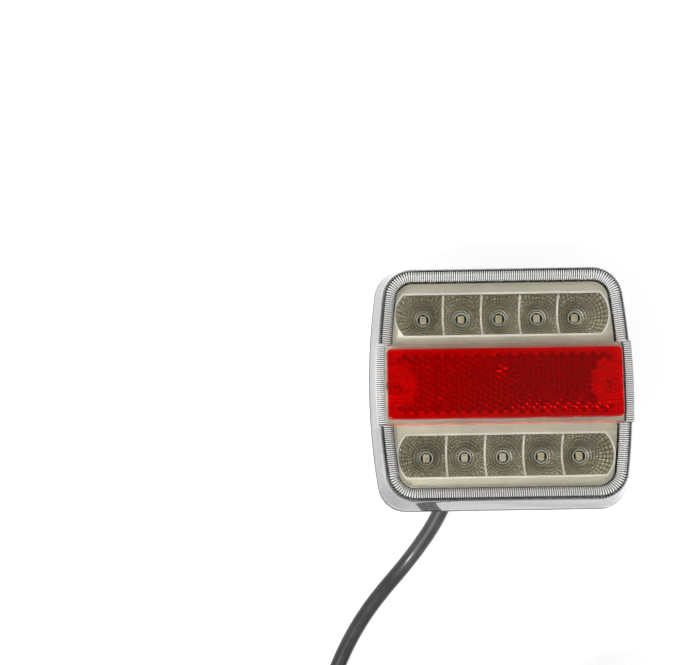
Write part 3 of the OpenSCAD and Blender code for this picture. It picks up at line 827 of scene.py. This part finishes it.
def make_bezel():
    bm = bmesh.new()
    sparse = FRONT[::8]
    top, under = BEZEL_Z, BEZEL_Z - BEZEL_T

    def edge(inset, z):
        points = moved_in(sparse, BEZEL_INSET + inset)
        return np.column_stack([points, np.full(len(points), z)])

    section = [(1, under), (1, BEZEL_FOOT_Z), (0, BEZEL_FOOT_Z)]
    section += [(0, top - 0.25), (0.1, top - 0.07), (0.3, top)]
    rows, faces = add_rings(bm, [edge(inset, z) for inset, z in section], caps=False)
    # The wall round the frame is painted dark on both sides: painted shade for the gap under the bead
    paint(faces[: 3 * len(sparse)], BEZEL_LOOKS, "component")
    tops, unders = [rows[-1]], [rows[0]]
    lip = ((0.75, top), (0.5, top + 0.16), (0.22, top + 0.2), (0, top + 0.08), (0, under))
    cone = ((5.1, top), (5.0, top + 0.08), (4.85, top + 0.04), (4.2, top - 1.6), (2.5, top - 2.6),
            (2.2, top - 3.0), (3.2, CUP_Z), (4.0, CUP_Z), (5.1, under))
    # The lips of the row openings get a painted highlight
    openings = [([row_loop(grow, z, y) for grow, z in lip], "bright_edge") for y in (-ROW_Y, ROW_Y)]
    for x in (-END_LED_X, END_LED_X):
        openings.append(([circle(r, z, 48, (x, 0)) for r, z in cone], "bezel_chrome"))
    for loops, look in openings:
        first, last = add_loops(bm, loops, look)
        tops.append(first)
        unders.append(last)
    fill_with_holes(bm, tops)
    fill_with_holes(bm, unders)
    post = ((1.6, LED_LO[2]), (1.8, LED_LO[2] + 0.3), (1.9, under + 0.3))
    for x in (-POST_X, POST_X):
        for y in (-POST_Y, POST_Y):
            add_rings(bm, [circle(r, z, 20, (x, y)) for r, z in post])
    piece_from(bm, "reflector_frame", "bezel_chrome", ["reflector_bezel"], smooth=40, materials=BEZEL_LOOKS)


make_bezel()

CUP_RINGS = 8
CUP_SECTORS = 36
# Where each facet is divided: its outermost strips are the grooves, which get painted shade
FACET_STEPS = (0, 0.15, 0.5, 0.85, 1)
FACET_BULGE = 0.16
# Half width of the ridge between two cups, and the waves along its top
RIDGE_HALF = 0.42
RIDGE_RISE = 0.08
RIDGE_SWING = 0.24
RIDGE_WAVE = 2.9
# Radius and height of the lip round the LED's hole, which gets a painted highlight
HOLE_LIP = ((2.42, -0.2), (2.46, 0.04), (2.56, 0.1), (2.66, 0.06), (CUP_HOLE_R, 0))
CUP_SHEET = 0.5
CUP_LOOKS = ("reflector_chrome", "reflector_groove", "bright_edge")


def cup_point(r, angle):
    rise = (r * r - CUP_HOLE_R**2) / (CUP_R**2 - CUP_HOLE_R**2)
    return np.array([r * math.cos(angle), r * math.sin(angle), CUP_Z + (CUP_TOP - CUP_Z) * rise])


def facet_patch(ring, sector):
    """Points of one pillowed facet, as a square grid."""
    radii = [CUP_HOLE_R + (CUP_R - CUP_HOLE_R) * (ring + i) / CUP_RINGS for i in (0, 1)]
    angles = [2 * math.pi * (sector + i) / CUP_SECTORS for i in (0, 1)]
    corners = [[cup_point(r, a) for a in angles] for r in radii]
    normal = np.cross(corners[1][0] - corners[0][0], corners[0][1] - corners[0][0])
    normal /= np.linalg.norm(normal)
    bulge = FACET_BULGE * (0.6 + ring / CUP_RINGS)
    grid = []
    for u in FACET_STEPS:
        for v in FACET_STEPS:
            flat = (1 - u) * ((1 - v) * corners[0][0] + v * corners[0][1])
            flat = flat + u * ((1 - v) * corners[1][0] + v * corners[1][1])
            grid.append(flat + normal * bulge * 16 * u * (1 - u) * v * (1 - v))
    return grid


def cup_facets():
    """Points of one cup, and its faces with their looks: facets, grooves between them with painted shade, and
    the hole's lip with a painted highlight.
    """
    points, faces = [], []
    side = len(FACET_STEPS)
    for ring in range(CUP_RINGS):
        for sector in range(CUP_SECTORS):
            start = len(points)
            points += facet_patch(ring, sector)
            for i in range(side - 1):
                for j in range(side - 1):
                    a = start + i * side + j
                    # Sloped border strips get the dark metal of painted shade; the middle of each facet stays
                    # chrome
                    groove = i in (0, side - 2) or j in (0, side - 2)
                    look = "reflector_groove" if groove else "reflector_chrome"
                    faces.append(((a, a + side, a + side + 1, a + 1), look))
    # The lip round the hole gets a painted highlight
    for sector in range(CUP_SECTORS):
        corners = [cup_point(CUP_HOLE_R, 2 * math.pi * turn / CUP_SECTORS) for turn in (sector, sector + 1)]
        start = len(points)
        for r, z in HOLE_LIP:
            for v in FACET_STEPS:
                x, y, _ = ((1 - v) * corners[0] + v * corners[1]) * r / CUP_HOLE_R
                points.append(np.array([x, y, CUP_Z + z]))
        for i in range(len(HOLE_LIP) - 1):
            for j in range(side - 1):
                a = start + i * side + j
                faces.append(((a, a + side, a + side + 1, a + 1), "bright_edge"))
    return points, faces


def to_ridge(co):
    """Takes a point at a cup's edge on to the wavy ridge beside it."""
    co.x = math.copysign(CUP_PITCH / 2, co.x)
    co.z += RIDGE_RISE + RIDGE_SWING * abs(math.sin(RIDGE_WAVE * co.y))


def to_bezel(co):
    co.z = CUP_TOP


def pull_edges(bm, axis, at, move, look):
    """Extrudes the open edges that lie at one place on an axis, and moves the new verts."""
    edges = [e for e in bm.edges if e.is_boundary and all(abs(v.co[axis] - at) < 1e-3 for v in e.verts)]
    made = bmesh.ops.extrude_edge_only(bm, edges=edges)["geom"]
    for v in only(bmesh.types.BMVert, made):
        move(v.co)
    paint(only(bmesh.types.BMFace, made), CUP_LOOKS, look)


def make_cup_row(name, node, y):
    points, faces = cup_facets()
    row = bmesh.new()
    for k in range(-2, 3):
        bm = bmesh.new()
        verts = [bm.verts.new(p) for p in points]
        for corners, look in faces:
            paint([bm.faces.new([verts[i] for i in corners])], CUP_LOOKS, look)
        bmesh.ops.remove_doubles(bm, verts=bm.verts[:], dist=1e-3)
        for side in (-1, 1):
            cut(bm, (0, side * ROW_HALF, 0), (0, side, 0))
            if k * side < 2:
                edge = side * (CUP_PITCH / 2 - RIDGE_HALF)
                cut(bm, (edge, 0, 0), (side, 0, 0))
                # The ridge between two cups gets a painted highlight
                pull_edges(bm, 0, edge, to_ridge, "bright_edge")
            pull_edges(bm, 1, side * ROW_HALF, to_bezel, "reflector_chrome")
        bmesh.ops.translate(bm, vec=(k * CUP_PITCH, y, 0), verts=bm.verts)
        part = bpy.data.meshes.new("cup")
        bm.to_mesh(part)
        bm.free()
        row.from_mesh(part)
        bpy.data.meshes.remove(part)
    bmesh.ops.remove_doubles(row, verts=row.verts[:], dist=2e-3)
    bmesh.ops.recalc_face_normals(row, faces=row.faces)
    upward = sum(f.normal.z * f.calc_area() for f in row.faces)
    bmesh.ops.solidify(row, geom=row.faces[:], thickness=CUP_SHEET if upward > 0 else -CUP_SHEET)
    piece_from(row, name, "reflector_chrome", [node], smooth=30, materials=CUP_LOOKS)


make_cup_row("upper_cups", "upper_reflector", ROW_Y)
make_cup_row("lower_cups", "lower_reflector", -ROW_Y)

# ---------------- LEDs

# Moulded body, the chamfer of its edges, and the middle of the solder at its two ends
LED_BODY = (2.5, 2.9)
LED_CHAMFER = 0.08
SOLDER_Y = 1.55
LED_LOOKS = ("led_body", "phosphor", "tinned_copper")


def add_led(bm, x, y):
    """One package: body with a round well, a domed phosphor fill and two soldered ends."""
    body = round_rect(*LED_BODY, 0.15, 3)
    inner = round_rect(*(size - 2 * LED_CHAMFER for size in LED_BODY), 0.12, 3)
    z0, z1 = LED_LO[2], LED_HI[2]

    def lifted(loop, z):
        return [(x + px, y + py, z) for px, py in loop]

    def round_loop(r, z):
        return [(x + r * px / math.hypot(px, py), y + r * py / math.hypot(px, py), z) for px, py in body]

    rings = [lifted(inner, z0), lifted(body, z0 + 0.1), lifted(body, z1 - LED_CHAMFER), lifted(inner, z1)]
    rings += [round_loop(r, z1 - deep) for r, deep in ((1.05, 0), (0.9, 0.35), (0.6, 0.31), (0.25, 0.29))]
    _, made = add_rings(bm, rings)
    loop = len(body)
    paint(made[5 * loop : 7 * loop] + made[-1:], LED_LOOKS, "phosphor")
    pad = round_rect(1.9, 0.6, 0.1, 2)
    levels = ((1.0, z0), (0.9, z0 + 0.35), (0.5, z0 + 0.5))
    for end in (-SOLDER_Y, SOLDER_Y):
        _, made = add_rings(bm, [[(x + px * k, y + end + py * k, z) for px, py in pad] for k, z in levels])
        paint(made, LED_LOOKS, "tinned_copper")


def make_leds(name, node, places):
    bm = bmesh.new()
    for x, y in places:
        add_led(bm, x, y)
    piece_from(bm, name, "led", [node], smooth=30, materials=LED_LOOKS)


make_leds("upper_led_packages", "upper_leds", [(k * CUP_PITCH, ROW_Y) for k in range(-2, 3)])
make_leds("lower_led_packages", "lower_leds", [(k * CUP_PITCH, -ROW_Y) for k in range(-2, 3)])
make_leds("end_led_packages", "end_leds", [(-END_LED_X, 0), (END_LED_X, 0)])

# ---------------- turned pieces


RING_STEPS = 240
# Height of the dome in the middle of the magnet's cup
MAGNET_STEP = 3.5
FERRITE_BORE_R = 16.5
HEX_FLATS = 10
HEX_CORNER = 5.77
THREAD_R = 3.0
THREAD_PITCH = 1.0
THREAD_DEPTH = 0.56
THREAD_STEPS = 8
BOLT_HEAD_H = 4
# Radius, and height over the seat, of the head's section
BOLT_HEAD = [
    (3.0, 0), (4.8, 0), (5.0, 0.15), (HEX_CORNER, 0.3),
    (HEX_CORNER, 3.2), (5.2, 3.8), (4.7, BOLT_HEAD_H), (0.01, BOLT_HEAD_H),
]
WASHER_T = 1.3
WASHER_STEPS = 72
# Plug: its grip with twelve flutes, its mating sleeve and the bore in it
GRIP_R = 20
GRIP_START = 9
FLUTE_R = 1.8
SLEEVE_R = 17.25
SLEEVE_LEN = 25
BORE_R = 14.85
# Strap: angle round the coil, inner and outer side of the turns, height over them, half width and thickness
TIE_ANGLE = math.radians(60)
TIE_IN, TIE_OUT, TIE_TOP = 21.9, 53.3, 13.1
TIE_HALF = 5.9
TIE_T = 0.6
# Inside of the hub, and the grommet's flanges and grooves
HUB_R = 19.8
HUB_FLOOR_Z = MAGNET_HI[2] + 2.2
FLANGE_R = 5.1
GROOVE_R = 3.72


def axis_matrix(origin, direction, up=(0, 0, 1)):
    """Frame whose +Z runs along direction and whose +X leans towards up."""
    z = Vector(direction).normalized()
    y = z.cross(Vector(up)).normalized()
    x = y.cross(z)
    matrix = Matrix((x, y, z)).transposed().to_4x4()
    matrix.translation = Vector(origin)
    return matrix


def turned(bm, profile, steps, shape=None, closed=True):
    """Spins a profile of (radius, height) round +Z; shape(radius, height, angles) may bend a ring's radii."""
    a = ring_angles(steps)
    rings = []
    for r, z in profile:
        radii = np.full(steps, float(r)) if shape is None else shape(r, z, a)
        rings.append(np.column_stack([radii * np.cos(a), radii * np.sin(a), np.full(steps, float(z))]))
    add_rings(bm, rings, closed=closed)


def turned_piece(name, slot, node, profile, steps, shape=None, closed=True, smooth=35):
    bm = bmesh.new()
    turned(bm, profile, steps, shape, closed)
    piece_from(bm, name, slot, [node], smooth)


def ripple(angles, amount, *waves):
    """A smooth irregular wave round a ring, between nought and amount."""
    total = sum(np.sin(n * angles + n * n) for n in waves)
    return amount * (0.5 + 0.5 * total / len(waves))


def make_magnet_cup():
    rim, top = MAGNET_HI[0], MAGNET_HI[2]
    floor = top - MAGNET_STEP
    profile = [
        (3.3, top), (3.2, top - 0.1), (3.2, top - 1.4), (3.3, top - 1.5), (8.9, top - 1.5), (9.7, top - 1.62),
        (15.2, floor - 1.4), (16.0, floor - 1.5), (rim - 2.3, floor - 1.5), (rim - 1.7, floor - 1.75),
        (rim - 1.5, floor - 2.4), (rim - 1.5, 0.3), (rim - 1.35, 0.06), (rim - 1.0, 0), (rim - 0.5, 0),
        (rim - 0.12, 0.1), (rim, 0.45), (rim, 1.2), (rim - 0.06, 1.3), (rim - 0.06, 1.7), (rim, 1.8),
        (rim, floor - 2.6), (rim - 0.2, floor - 1.3), (rim - 0.75, floor - 0.45), (rim - 1.6, floor - 0.05),
        (rim - 2.4, floor), (18.2, floor), (17.3, floor + 0.15), (15.3, top - 0.2), (14.2, top),
    ]
    turned_piece("magnet_shell", "zinc_steel", "magnet_cup", profile, 192)


def make_ferrite_ring(inner, outer):
    low, high = (corner[2] for corner in box_mm("ring_magnet"))
    middle = (inner + outer) / 2

    def chipped(r, z, angles):
        """Small chips along both lower edges."""
        chips = ripple(angles, 0.22, 17, 29, 41) * (z < low + 0.6)
        return r - chips if r > middle else r + chips

    profile = [
        (inner, high), (inner, low + 0.45), (inner + 0.2, low + 0.12), (inner + 0.5, low),
        (22, low), (28, low),
        (outer - 0.7, low), (outer - 0.3, low + 0.15), (outer, low + 0.55), (outer, high),
    ]
    turned_piece("ferrite_ring", "ferrite", "ring_magnet", profile, RING_STEPS, chipped)


def make_potting(inner):
    """Glue between the ring and the cup, with an uneven bead on its open side."""
    low, high = box_mm("magnet_glue")
    outer = high[0]
    a = ring_angles(RING_STEPS)
    bead = ((inner, 0.0), (inner + 0.3, 0.25), (inner + 0.6, 0.32), (inner + 0.95, 0.25), (outer, 0.0))
    rings = []
    for r, rise in bead:
        z = low[2] + rise + ripple(a, 0.45, 5, 8, 13)
        rings.append(np.column_stack([r * np.cos(a), r * np.sin(a), z]))
    rings += [circle(r, high[2], RING_STEPS) for r in (outer, inner)]
    bm = bmesh.new()
    add_rings(bm, rings, closed=True)
    piece_from(bm, "potting_ring", "potting", ["magnet_glue"])


def hexed(r, z, angles):
    """Radii of a ring, held inside the hexagon of a head or a nut."""
    flats = HEX_FLATS / 2 / np.cos((angles + math.pi / 6) % (math.pi / 3) - math.pi / 6)
    return np.minimum(r, flats)


def make_bolt():
    low, high = (corner[2] for corner in box_mm("magnet_bolt"))
    head = high - BOLT_HEAD_H

    def thread(r, z, angles):
        """Flat topped ridge that winds up the shank, under a plain neck and the head."""
        if r > THREAD_R or z > head - 1.5:
            return hexed(r, z, angles)
        phase = np.abs(((z / THREAD_PITCH - angles / (2 * math.pi)) % 1) - 0.5) * 2
        return np.minimum(r, THREAD_R - np.clip((phase - 0.12) / 0.75, 0, 1) * THREAD_DEPTH)

    step = THREAD_PITCH / THREAD_STEPS
    profile = [(0.01, low), (1.5, low), (2.3, low + 0.02)]
    for i in range(int((head - low) / step)):
        profile.append((min(THREAD_R, 2.4 + 0.12 * i), low + 0.1 + i * step))
    profile += [(r, head + rise) for r, rise in BOLT_HEAD]
    turned_piece("hex_bolt", "passivated_steel", "magnet_bolt", profile, 72, thread, closed=False, smooth=30)


def make_nut():
    low, high = (corner[2] for corner in box_mm("magnet_nut"))
    profile = [
        (3.0, low + 0.45), (3.35, low + 0.05), (4.5, low), (4.75, low), (5.3, low + 0.3),
        (HEX_CORNER, low + 0.75), (HEX_CORNER, high - 0.75),
        (5.3, high - 0.3), (4.75, high), (3.4, high), (3.0, high - 0.4),
    ]
    turned_piece("hex_nut", "passivated_steel", "magnet_nut", profile, 96, hexed, smooth=30)


def make_washer():
    """A split ring whose end stands higher than its start."""
    low, high = (corner[2] for corner in box_mm("spring_washer"))
    t = WASHER_T
    section = [(3.25, 0.05), (3.35, 0), (5.25, 0), (5.4, 0.1)]
    section += [(5.4, t - 0.1), (5.25, t), (3.35, t), (3.25, t - 0.1)]
    rings = []
    for i in range(WASHER_STEPS + 1):
        a = math.radians(5 + 350 * i / WASHER_STEPS)
        lift = (high - low - t) * i / WASHER_STEPS
        rings.append([(r * math.cos(a), r * math.sin(a), low + z + lift) for r, z in section])
    bm = bmesh.new()
    add_rings(bm, rings)
    piece_from(bm, "split_washer", "zinc_steel", ["spring_washer"])


def make_grommet():
    """Rubber grommet that grips the hub's wall, with a tapered and grooved strain relief."""
    seat_in, seat_out, tip = math.sqrt(HUB_R**2 - FLANGE_R**2), 22.0, 40.0
    profile = [
        (3.15, seat_in - 1.2), (4.8, seat_in - 1.2), (FLANGE_R, seat_in - 0.9), (FLANGE_R, seat_in),
        (4.2, seat_in), (4.2, seat_out), (4.8, seat_out),
        (FLANGE_R, seat_out + 0.25), (FLANGE_R, seat_out + 1.7), (4.8, seat_out + 2),
    ]
    start = seat_out + 2

    def skin(at):
        return 4.6 + (3.7 - 4.6) * (at - start) / (tip - start)

    for k in range(5):
        groove = start + 1.8 + k * 2.6
        profile += [
            (skin(groove), groove - 0.15), (skin(groove) - 0.12, groove),
            (GROOVE_R, groove + 0.18), (GROOVE_R, groove + 0.92),
            (skin(groove) - 0.15, groove + 1.1), (skin(groove) - 0.04, groove + 1.25),
        ]
    profile += [(GROOVE_R, tip - 0.4), (3.6, tip - 0.1), (3.4, tip), (3.15, tip)]
    bm = bmesh.new()
    turned(bm, profile, 64)
    bmesh.ops.transform(bm, matrix=axis_matrix((0, 0, OUTLET_Z), OUTLET), verts=bm.verts)
    for v in bm.verts:
        if math.hypot(v.co.x, v.co.y) < HUB_R:
            v.co.z = max(v.co.z, HUB_FLOOR_Z)
    piece_from(bm, "strain_relief", "black_rubber", ["cable_grommet"])


def add_block(bm, low, high, edge):
    """A block with rounded edges."""
    made = bmesh.ops.create_cube(bm, size=1)["verts"]
    low, high = Vector(low), Vector(high)
    for v in made:
        v.co = Vector(low[i] + (v.co[i] + 0.5) * (high[i] - low[i]) for i in range(3))
    edges = list({e for v in made for e in v.link_edges})
    bmesh.ops.bevel(bm, geom=edges, offset=edge, segments=3, profile=0.5, affect="EDGES")


def make_plug():
    """Plug body: a grooved grip behind, and the smooth mating sleeve with its key in front."""
    axis = ((PLUG_LO[0] + PLUG_HI[0]) / 2, PLUG_LO[1], PLUG_LO[2] + GRIP_R)
    tip = PLUG_HI[1] - PLUG_LO[1]
    root = tip - SLEEVE_LEN

    def grip(r, z, angles):
        radii = np.full(len(angles), float(r))
        if r > GRIP_R - 0.1 and GRIP_START < z < root - 4:
            across = ((angles + math.pi / 12) % (math.pi / 6) - math.pi / 12) * GRIP_R
            fade = min(1, (z - GRIP_START) / 2, (root - 4 - z) / 2)
            radii -= fade * np.clip(np.sqrt(np.clip(FLUTE_R**2 - across**2, 0, None)) - FLUTE_R / 2, 0, None)
        if 16 < r <= SLEEVE_R and z > tip - 8:
            key = np.abs((angles + math.pi) % (2 * math.pi) - math.pi) * 17 < 2
            radii[key] = np.minimum(radii[key], 15.95)
        return radii

    profile = [(5.6, 0.2), (5.9, 0), (12.5, 0), (13.1, 0.25), (14.5, 1.5)]
    profile += [(17.0, 3.6), (18.6, 4.9), (19.6, 5.7)]
    stations = [6.6, 8, 9.02, 9.4, 10, 11] + [11 + i * (root - 17) / 12 for i in range(1, 12)]
    stations += [root - back for back in (6, 5, 4.4, 4.02, 2)]
    profile += [(GRIP_R, z) for z in stations]
    profile += [(19.8, root - 0.6), (19.2, root - 0.1), (18.6, root), (17.6, root), (SLEEVE_R, root + 0.3)]
    profile += [(SLEEVE_R, z) for z in (root + 6, tip - 8.02, tip - 7.98, tip - 4, tip - 0.9)]
    profile += [(17.0, tip - 0.3), (16.5, tip), (15.3, tip), (14.95, tip - 0.2)]
    profile += [(BORE_R, z) for z in (tip - 0.6, root + 10, root, 8)] + [(5.6, 8)]
    bm = bmesh.new()
    turned(bm, profile, 240, grip)
    add_block(bm, (19, -4, root - 7), (21.6, 4, root - 4), 0.6)
    bmesh.ops.transform(bm, matrix=axis_matrix(axis, (0, 1, 0)), verts=bm.verts)
    piece_from(bm, "plug_body", "plug_plastic", ["plug_shell"], smooth=30)


def make_tie():
    """Hook and loop strap round all the turns."""

    def loop(grow, across):
        outline = round_rect(TIE_OUT - TIE_IN + 2 * grow, TIE_TOP - TIE_T + 2 * grow, 2.5 + grow)
        return [((TIE_IN + TIE_OUT) / 2 + x, across, (TIE_TOP + TIE_T) / 2 + z) for x, z in outline]

    half = TIE_HALF
    section = [(0.54, -half), (TIE_T, 0.25 - half), (TIE_T, half - 0.25), (0.54, half)]
    section += [(0.1, half), (0.02, half - 0.2), (0.02, 0.2 - half), (0.1, -half)]
    bm = bmesh.new()
    add_rings(bm, [loop(grow, across) for grow, across in section], closed=True)
    turn = Matrix.Translation((COIL_X, COIL_Y, 0)) @ Matrix.Rotation(TIE_ANGLE, 4, "Z")
    bmesh.ops.transform(bm, matrix=turn, verts=bm.verts)
    piece_from(bm, "strap", "nylon", ["coil_tie"])


ferrite_r = box_mm("ring_magnet")[1][0]
make_magnet_cup()
make_ferrite_ring(FERRITE_BORE_R, ferrite_r)
make_potting(ferrite_r)
make_bolt()
make_nut()
make_washer()
make_grommet()
make_plug()
make_tie()

# ---------------- carried-over CAD nodes

# Widths of the rounded edges, and the nodes that get them
EDGE_ROUNDING = {
    0.05: ("core_earth", "core_tail", "core_stop", "core_turn"),
    0.1: ("resistors",),
    0.12: ("lens_seal", "circuit_board", "core_ferrules", "plug_screw"),
    0.15: ("board_screws",),
    0.2: ("diodes", "plug_pins", "plug_gland_seal"),
    0.25: ("cable_clamp", "plug_insert"),
    0.35: ("base_plate",),
    0.4: ("plug_gland_nut",),
}

for width, node_names in EDGE_ROUNDING.items():
    for node_name in node_names:
        rounding = frame["nodes"][node_name].modifiers.new("rounding", "BEVEL")
        rounding.width = width * MM
        rounding.segments = 2
        rounding.limit_method = "ANGLE"
        rounding.angle_limit = math.radians(40)

# ---------------- stage


FLOOR_HALF = 2.0
FLOOR_GLOW = 0.84


def make_stage():
    bm = bmesh.new()
    bmesh.ops.create_grid(bm, x_segments=1, y_segments=1, size=FLOOR_HALF)
    mesh = bpy.data.meshes.new("floor")
    bm.to_mesh(mesh)
    bm.free()
    n = Nodes("floor")
    n.colour(n.blend(n.spread(n.noise(3), 0, 1), (0.24, 0.24, 0.24), (0.26, 0.26, 0.26)))
    n.set(Roughness=0.8, Emission_Color=(1, 1, 1, 1), Emission_Strength=FLOOR_GLOW)
    mesh.materials.append(n.material)
    floor = bpy.data.objects.new("floor", mesh)
    bpy.context.scene.collection.objects.link(floor)


def area_light(name, power, size, place, target=(0, 0, 0.04)):
    data = bpy.data.lights.new(name, "AREA")
    data.shape = "RECTANGLE"
    data.size, data.size_y = size
    data.energy = power
    light = bpy.data.objects.new(name, data)
    light.location = place
    light.rotation_euler = (Vector(target) - Vector(place)).to_track_quat("-Z", "Y").to_euler()
    bpy.context.scene.collection.objects.link(light)


def make_world():
    """A pale tent: bright low down, dark straight above, where the camera is."""
    world = bpy.data.worlds.new("world")
    world.use_nodes = True
    tree = world.node_tree
    place = tree.nodes.new("ShaderNodeTexCoord").outputs["Generated"]
    split = tree.nodes.new("ShaderNodeSeparateXYZ")
    tree.links.new(place, split.inputs["Vector"])
    ramp = tree.nodes.new("ShaderNodeValToRGB")
    stops = ((0.0, 0.5), (0.3, 0.55), (0.6, 0.75), (0.8, 1.0), (0.9, 0.35), (0.95, 0.06), (1.0, 0.05))
    band = ramp.color_ramp
    while len(band.elements) < len(stops):
        band.elements.new(0.5)
    for element, (at, level) in zip(band.elements, stops):
        element.position = at
        element.color = (level, level, level, 1)
    tree.links.new(split.outputs["Z"], ramp.inputs["Fac"])
    around = tree.nodes.new("ShaderNodeTexGradient")
    around.gradient_type = "RADIAL"
    tree.links.new(place, around.inputs["Vector"])

    def wave(turns, depth, middle):
        """A sine of so many turns round the horizon."""
        value = around.outputs["Fac"]
        steps = (("MULTIPLY", turns * 2 * math.pi, 0), ("SINE", 0, 0), ("MULTIPLY_ADD", depth, middle))
        for operation, factor, offset in steps:
            node = tree.nodes.new("ShaderNodeMath")
            node.operation = operation
            node.inputs[1].default_value = factor
            node.inputs[2].default_value = offset
            tree.links.new(value, node.inputs[0])
            value = node.outputs["Value"]
        return value

    # Brighter on the near side, and broken into seven panels
    strength = tree.nodes.new("ShaderNodeMath")
    strength.operation = "MULTIPLY"
    tree.links.new(wave(1, 0.7, 1.7), strength.inputs[0])
    tree.links.new(wave(7, 0.5, 0.75), strength.inputs[1])
    tree.links.new(strength.outputs["Value"], tree.nodes["Background"].inputs["Strength"])
    tree.links.new(ramp.outputs["Color"], tree.nodes["Background"].inputs["Color"])
    bpy.context.scene.world = world


def make_light():
    make_world()
    area_light("key", 17, (0.16, 0.16), (-0.55, -0.45, 1.1))
    area_light("low_left", 5, (0.4, 0.3), (-0.9, -0.9, 0.55))
    bpy.context.scene.view_settings.view_transform = "Standard"


make_stage()
make_light()
